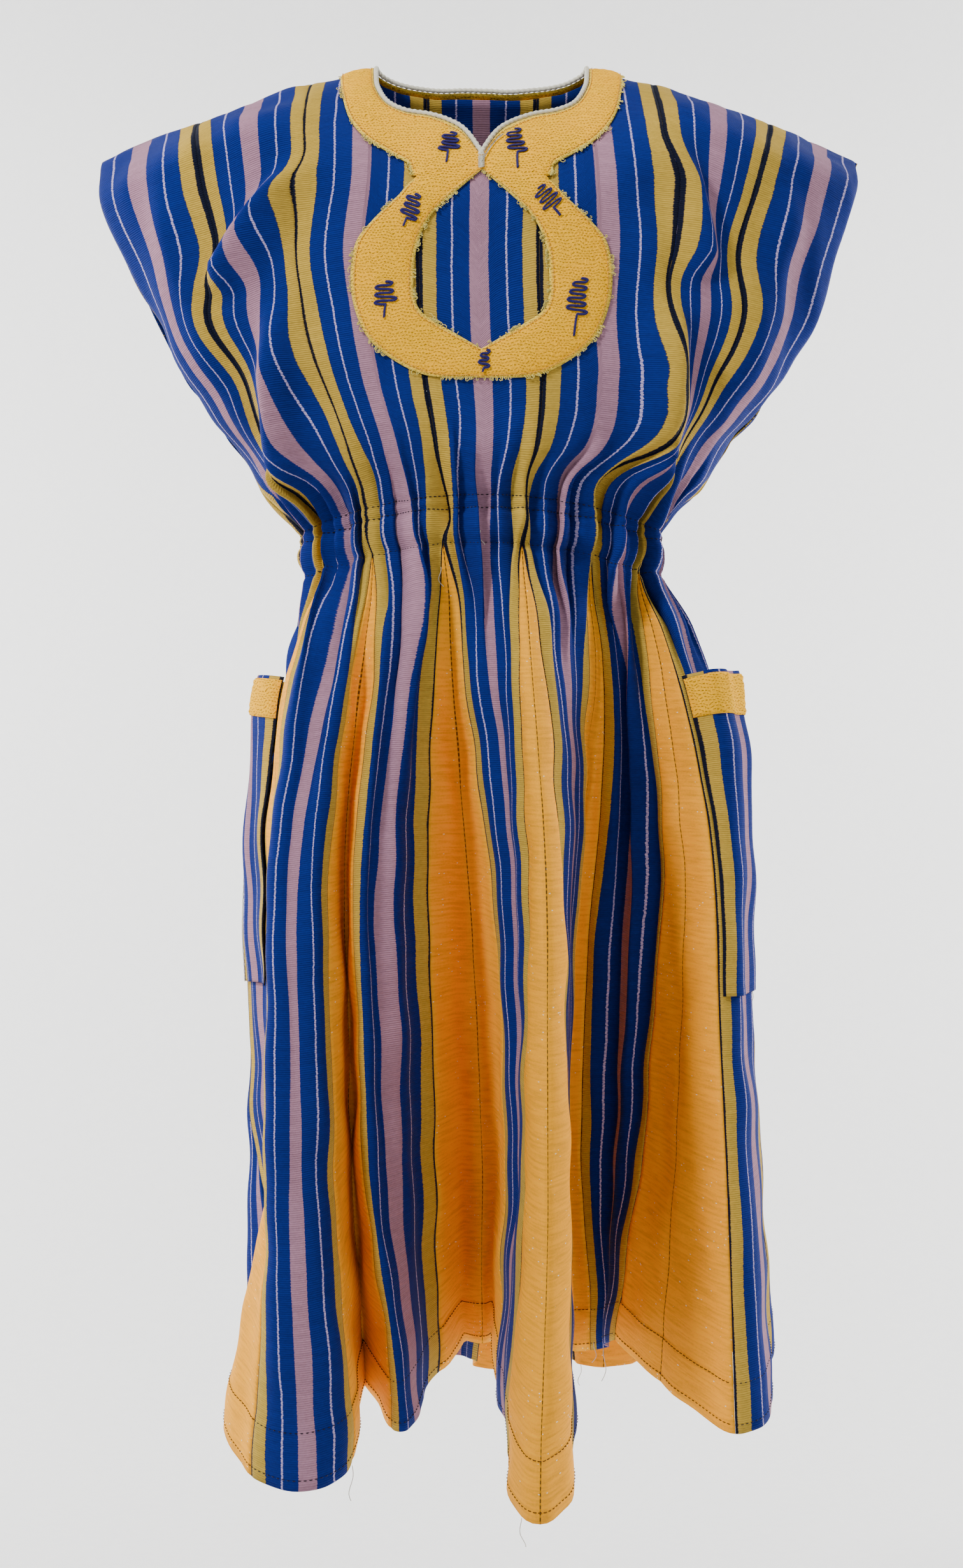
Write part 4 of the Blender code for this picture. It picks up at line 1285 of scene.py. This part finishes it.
class DRESS_OT_collar(bpy.types.Operator):
    """Makes the quilted collar, its loop and the band behind the neck"""

    bl_idname = "dress.collar"
    bl_label = "Collar"

    def execute(self, context):
        sizes = dress_sizes()
        thick = sizes.cloth_thickness
        finish = finish_named(QUILTED, quilted_cloth, sizes)
        jobs = (
            ("collar_band", mirrored(stations(COLLAR_BAND, 16)), False, "front"),
            ("collar_loop", mirrored(stations(COLLAR_LOOP, 14))[:-1], True, "front"),
            ("collar_back", mirrored(stations(COLLAR_BACK, 16)), False, "back"),
        )
        for node, edges, closed, side in jobs:
            joined, first = collar_joint(node, edges)
            edges[:, 1 if first else 3] += joined * (COLLAR_JOINT if first else -COLLAR_JOINT)
            x, z = np.moveaxis(between(edges, 26), -1, 0)
            part, along = np.meshgrid(np.linspace(0, 1, x.shape[1]), np.arange(x.shape[0]))
            # The quilting lies lower where the band is narrow, and keeps its height at the joint.
            wide = np.linalg.norm(edges[:, :2] - edges[:, 2:], axis=1)
            kept = joined * (0.2 + 0.8 * ease(0.0, 0.02, np.abs(edges[:, 0 if first else 2])))
            narrow = np.maximum(np.clip(wide / 0.03, 0.15, 1.0), kept)[:, None]
            reach = 1 - 0.5 * joined[:, None]
            part = 1 - (1 - part) * reach if first else part * reach
            crown = np.clip(np.sin(math.pi * part), 0.0, 1.0) ** 0.45
            lumps = np.sin(310 * x + 4 * np.sin(170 * z)) * np.sin(420 * z + 3 * np.sin(210 * x))
            lumps = lumps + 0.6 * np.sin(700 * x + 260 * z) * np.sin(640 * z - 190 * x)
            groove = hump(np.minimum(part, 1 - part) - COLLAR_ROW, 0.03)
            lift = ((sizes.collar_rise + 0.00022 * lumps) * crown - 0.0006 * groove) * narrow
            points, normal = on_chest(x, z, side, COLLAR_CLEAR + 0.0007 + lift)
            across = COLLAR_MM * part
            made = thin_cloth(
                f"quilted_{node}", points, normal, finish, across, along, thick, closed
            )
            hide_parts(node)
        return {"FINISHED"}


class DRESS_OT_binding(bpy.types.Operator):
    """Makes the cord round the neckline and the zigzag at the foot of the V"""

    bl_idname = "dress.binding"
    bl_label = "Neck binding"

    def execute(self, context):
        finish = finish_named("soft cream cord", thread_finish, dress_sizes().binding, 0.85, 0.3)
        path = []
        for side, table, way in (("front", COLLAR_BAND, 1), ("back", COLLAR_BACK, -1)):
            edge = mirrored(stations(table, 30))[::way, :2]
            x, z = edge.T
            ahead = np.gradient(edge, axis=0)
            inward = way * unit(np.stack((-ahead[:, 1], 0 * x, ahead[:, 0]), -1))
            point, normal = on_chest(x, z, side, COLLAR_CLEAR + COLLAR_THICK / 2)
            inward = unit(inward - normal * (inward * normal).sum(-1, keepdims=True))
            path.append(point + inward * (BINDING_RADIUS + 0.0004))
        path = np.concatenate((path[0], path[1][1:-1]))
        lengths = walked(path)
        path = read_at(lengths, path, np.linspace(0, lengths[-1], 900, endpoint=False))
        for _ in range(6):
            path = 0.5 * path + 0.25 * (np.roll(path, 1, 0) + np.roll(path, -1, 0))

        def plies(count, turn):
            turns = 2 * math.pi * np.arange(count)[:, None] / 7.0
            return 1.0 + 0.16 * np.cos(2 * turn[None, :] - turns)

        points, faces = tube(path, BINDING_RADIUS, 12, True, plies)
        made = piece("neck_cord", points, faces, finish)
        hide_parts("neck_binding")
        step = np.arange(26)
        t = step / 25
        x = 0.016 * (1 - t) + np.where(step % 2 == 0, 0.0018, -0.0012)
        z = neck_z(np.maximum(x, 0.0), "front") - 0.0068
        zigzag, _ = on_chest(x, z, "front", COLLAR_CLEAR + 0.0034)
        x = np.where(step % 2 == 0, 0.0024, -0.0024)
        foot, _ = on_chest(x, -0.103 - 0.010 * t, "front", COLLAR_CLEAR + 0.0034)
        cords("neck_zigzag", [zigzag, foot], 0.00055, finish)
        return {"FINISHED"}


class DRESS_OT_pockets(bpy.types.Operator):
    """Makes the side pockets with their quilted bands and overlocked edges"""

    bl_idname = "dress.pockets"
    bl_label = "Pockets"

    def execute(self, context):
        sizes = dress_sizes()
        thick = sizes.cloth_thickness
        striped = finish_named(STRIPED, striped_cloth, sizes)
        quilted = finish_named(QUILTED, quilted_cloth, sizes)
        white = finish_named("white overlock thread", thread_finish, "#e8e6ee", 0.7, 0.2)
        left, right = POCKET_COLUMNS[0], POCKET_COLUMNS[-1]
        mouth, foot = POCKET_ROWS[0], POCKET_ROWS[-1]
        for name, index in (("pocket_left", 0), ("pocket_right", STRIPS - 1)):
            along, row = panel_grid(1 + np.linspace(mouth - 0.004, foot, 90), 34)
            fraction = left + (right - left) * along
            points, normal = cloth_at("front", "strip", index, fraction, row)
            depth = np.clip((row - 1 - mouth) / (foot - mouth), 0.0, 1.0)
            gape = POCKET_GAPE * (1 - depth) ** 1.4 * np.sin(math.pi * along) ** 0.8
            outer = points + normal * (POCKET_CLEAR + WALL + gape)[..., None]
            across = STRIP_MM * along
            down = lengths_down(outer)[:, None] + 0 * fraction + 31.0
            made = thin_cloth(f"woven_{name}", outer, normal, striped, across, down, thick)
            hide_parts(name)
            level = row[:, 0] - 1
            band = (level >= mouth) & (level <= POCKET_ROWS[POCKET_BAND_ROWS - 1])
            level, along = level[band][:, None], along[band]
            share = (level - level[0]) / (level[-1] - level[0])
            ridges = np.abs(np.sin(5 * math.pi * share)) ** 0.6
            edge = np.clip(np.minimum(along, 1 - along) / 0.04, 0.0, 1.0) ** 0.5
            lift = 0.0005 + (0.0006 + 0.0016 * ridges) * edge
            quilt = outer[band] + normal[band] * lift[..., None]
            across = np.full_like(along, COLLAR_MM / 2)
            made = thin_cloth(
                f"quilted_{name}_band", quilt, normal[band], quilted, across, down[band], 0.0006
            )
            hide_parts(f"{name}_band")
            rim, near = (0, 2) if index == 0 else (-1, -3)
            line = outer[:, rim] + normal[:, rim] * 0.0007
            other = outer[:, near] + normal[:, near] * 0.0012
            swing = 0.55 * (np.arange(len(line)) % 2)[:, None]
            cords(f"{name}_overlock", [line + (other - line) * swing], 0.00042, white, 4)
        return {"FINISHED"}


class DRESS_OT_stitching(bpy.types.Operator):
    """Makes the stitch rows of the elastic casing, the hem and the collar's edges"""

    bl_idname = "dress.stitching"
    bl_label = "Stitching"

    def execute(self, context):
        sizes = dress_sizes()
        dark = finish_named("dark sewing thread", thread_finish, sizes.thread, 0.6, 0.1)
        yellow = finish_named("yellow sewing thread", thread_finish, "#d9a53e", 0.6, 0.1)
        brown = finish_named("brown sewing thread", thread_finish, "#5c3312", 0.6, 0.0)
        long = sizes.stitch_length
        waist, hem, edges = [], {"strip": [], "godet": []}, []
        fraction = np.linspace(0.0, 1.0, 61)
        for side, index in panels("strip"):
            line = waist_z(math.pi * (index + fraction) / STRIPS)
            top = cloth_top(index + fraction - HALF_STRIPS, side)
            for height in ELASTIC_ROWS:
                row = 1 - height / (top - line if height > 0 else line - HEM_Z)
                points, normal = cloth_at(side, "strip", index, fraction, row)
                waist += stitches(points, normal, long, STITCH_GAP, 0.0007)
        for kind, sewn in hem.items():
            for side, index in panels(kind):
                for height in (HEM_DEEP - 0.0015, HEM_EDGE):
                    row = 2 - height / SKIRT_LONG + 0 * fraction
                    points, normal = cloth_at(side, kind, index, fraction, row)
                    sewn += stitches(points, normal, long, STITCH_GAP, 0.0006)
        cords("elastic_stitching", waist, 0.00042, dark, 4)
        cords("hem_stitching_strips", hem["strip"], 0.00034, dark, 4)
        cords("hem_stitching_godets", hem["godet"], 0.00036, brown, 4)
        for node, table, side in (
            ("collar_band", COLLAR_BAND, "front"),
            ("collar_loop", COLLAR_LOOP, "front"),
            ("collar_back", COLLAR_BACK, "back"),
        ):
            curve = mirrored(stations(table, 16))
            joined, first = collar_joint(node, curve)
            for near in (COLLAR_ROW, 1 - COLLAR_ROW):
                x, z = (curve[:, :2] * (1 - near) + curve[:, 2:] * near).T
                points, normal = on_chest(x, z, side, COLLAR_CLEAR + 0.0019)
                # No stitches where this edge is sewn to the other part of the collar.
                cut = np.flatnonzero((joined > 0) & ((near < 0.5) == first))
                for run in np.split(np.arange(len(curve)), cut):
                    if len(run) > 4:
                        run = run[1:]
                        edges += stitches(points[run], normal[run], 0.0026, 0.0012, 0.0006)
        cords("collar_stitching", edges, 0.00035, yellow, 4)
        return {"FINISHED"}


class DRESS_OT_embroidery(bpy.types.Operator):
    """Makes the squiggles sewn on the collar"""

    bl_idname = "dress.embroidery"
    bl_label = "Embroidery"

    def execute(self, context):
        colour = dress_sizes().embroidery
        finish = finish_named("navy embroidery thread", thread_finish, colour, 0.45, 0.2)
        t = np.linspace(0, 1, 130)
        down = np.linspace(0, 1, 12)[1:]
        paths = []
        for x, z, width, height, lean, loops, share in SQUIGGLES:
            turn = 2 * math.pi * loops * t
            coil_x = 0.5 * np.sin(turn) * (0.62 + 0.38 * t) + 0.06 * np.sin(5.3 * t + x)
            sunk = t - np.sin(2 * turn) / (4 * math.pi * loops)
            coil_z = height * (0.5 - share * sunk) + 0.25 * np.sin(turn)
            flat_x = width * np.concatenate((coil_x, coil_x[-1] * (1 - down) ** 3))
            stem_z = coil_z[-1] + (-0.5 * height - coil_z[-1]) * down
            flat_z = np.concatenate((coil_z, stem_z))
            cosine, sine = math.cos(math.radians(lean)), math.sin(math.radians(lean))
            px = (x + flat_x * cosine + flat_z * sine) / 1000
            pz = (z - flat_x * sine + flat_z * cosine) / 1000
            for shift in (0.0, 0.0007):
                spot = px + 0.8 * shift, pz + shift
                paths.append(on_chest(*spot, "front", COLLAR_CLEAR + 0.0037)[0])
        cords("collar_squiggles", paths, 0.00072, finish, 6)
        return {"FINISHED"}


class DRESS_OT_fray(bpy.types.Operator):
    """Makes the frayed tufts at the collar's edges and the loose thread ends"""

    bl_idname = "dress.fray"
    bl_label = "Fray"

    def execute(self, context):
        pale = finish_named("frayed terry ends", thread_finish, "#dccb6a", 0.9, 0.2)
        random = np.random.default_rng(7)
        t = np.array((-0.5, 0.4, 0.9, 0.8, 0.3))[:, None]
        bend = np.array((0.0, 0.1, 0.5, 1.0, 1.2))[:, None]
        tufts = []
        for node, table, edges in (
            ("collar_band", COLLAR_BAND, (1,)),
            ("collar_loop", COLLAR_LOOP, (0, 1)),
        ):
            curve = mirrored(stations(table, 40))
            joined, first = collar_joint(node, curve)
            for end in edges:
                edge = curve[:, :2] if end == 0 else curve[:, 2:]
                ways = unit(edge - 0.5 * (curve[:, :2] + curve[:, 2:]), 1e-6)
                for i in range(2, len(edge) - 2):
                    clump = 0.16 + 0.62 * math.sin(0.11 * i + 2 * end) * math.sin(0.043 * i + 1)
                    if random.random() > clump or (joined[i] > 0 and (end == 0) == first):
                        continue
                    out = ways[i]
                    side = np.array((-out[1], out[0]))
                    lean = random.normal(0.0, 0.7)
                    reach = random.uniform(0.0010, 0.0030)
                    x, z = (edge[i] + (out * t + side * bend * lean) * reach).T
                    clear = COLLAR_CLEAR + random.uniform(0.0006, 0.0016)
                    tufts.append(on_chest(x, z, "front", clear)[0])
        cords("collar_fray", tufts, 0.00036, pale, 3)
        t = np.linspace(0, 1, 12)[:, None]
        ends = []
        for side, kind, index, fraction, row, long in LOOSE_ENDS:
            point, normal = cloth_at(side, kind, index, np.array([fraction]), np.array([row]))
            hang = np.concatenate((0.0035 * np.sin(5 * t + index), 0 * t, 0 * t - long), -1) * t
            ends.append(point + normal * 0.0012 + hang)
        loose = finish_named("loose cotton thread", thread_finish, "#cfc7b8", 0.8, 0.2)
        cords("loose_threads", ends, 0.0003, loose, 4)
        return {"FINISHED"}


class DRESS_OT_stage(bpy.types.Operator):
    """Makes the pale studio, its soft lights and the camera"""

    bl_idname = "dress.stage"
    bl_label = "Stage"

    def execute(self, context):
        scene = context.scene
        finish, tree, shader = new_finish("matt studio paper", 0.9, 0.0, 0.5)
        spot = add(tree, "ShaderNodeTexCoord").outputs["Object"]
        light = mixture(tree, 0.97, (grain(tree, spot, 60.0, 2.0), 0.05))
        tree.links.new(tinted(tree, hexes("#f7f7f6"), light), shader.inputs["Base Color"])
        # The paper runs level under the dress, bends up behind it and goes on as a wall.
        profile = [(-6.0, 0.0), (1.6, 0.0)]
        for angle in np.linspace(0.1, math.pi / 2, 14):
            profile.append((1.6 + 1.2 * math.sin(angle), 1.2 - 1.2 * math.cos(angle)))
        profile.append((2.8, 4.5))
        points = [(x, y, z + FLOOR_Z) for y, z in profile for x in (-6.0, 6.0)]
        faces = [(2 * i, 2 * i + 1, 2 * i + 3, 2 * i + 2) for i in range(len(profile) - 1)]
        paper = linked("studio_paper", new_mesh("studio_paper", points, faces, finish))
        for name, place, aim, size, power in LIGHTS:
            lamp = bpy.data.lights.new(name, "AREA")
            lamp.shape, lamp.size, lamp.energy = "DISK", size, power
            x, y, z = np.array(aim) - np.array(place)
            turned = (math.atan2(math.hypot(x, y), -z), 0.0, math.atan2(x, -y) + math.pi)
            linked(name, lamp, place, turned)
        world = bpy.data.worlds.new("soft studio light")
        world.use_nodes = True
        world.node_tree.nodes["Background"].inputs[0].default_value = hexes("#f4f6fa")
        world.node_tree.nodes["Background"].inputs[1].default_value = 0.18
        scene.world = world
        camera = bpy.data.cameras.new("camera")
        camera.sensor_fit, camera.sensor_width, camera.lens = "AUTO", 36.0, CAMERA_LENS
        scene.camera = linked("camera", camera, CAMERA_PLACE, (math.pi / 2, 0.0, 0.0))
        return {"FINISHED"}


class DRESS_PT_pieces(bpy.types.Panel):
    """Lists the dress's sizes and pieces"""

    bl_label = "Fugu dress"
    bl_idname = "DRESS_PT_pieces"
    bl_space_type = "VIEW_3D"
    bl_region_type = "UI"
    bl_category = "Dress"

    def draw(self, context):
        for name in DressSizes.__annotations__:
            self.layout.prop(context.scene.dress_sizes, name)
        for job in JOBS:
            self.layout.operator(job.bl_idname)


JOBS = (
    DRESS_OT_strips,
    DRESS_OT_godets,
    DRESS_OT_hem,
    DRESS_OT_collar,
    DRESS_OT_binding,
    DRESS_OT_pockets,
    DRESS_OT_stitching,
    DRESS_OT_embroidery,
    DRESS_OT_fray,
    DRESS_OT_stage,
)
CLASSES = (DressSizes, *JOBS, DRESS_PT_pieces)


def register():
    for made in CLASSES:
        bpy.utils.register_class(made)
    bpy.types.Scene.dress_sizes = bpy.props.PointerProperty(type=DressSizes)


def unregister():
    del bpy.types.Scene.dress_sizes
    for made in reversed(CLASSES):
        bpy.utils.unregister_class(made)


def main():
    register()
    for old in ("Cube", "Light", "Camera"):
        if old in bpy.data.objects:
            bpy.data.objects.remove(bpy.data.objects[old])
    for job in JOBS:
        group, name = job.bl_idname.split(".")
        getattr(getattr(bpy.ops, group), name)()


if __name__ == "__main__":
    main()
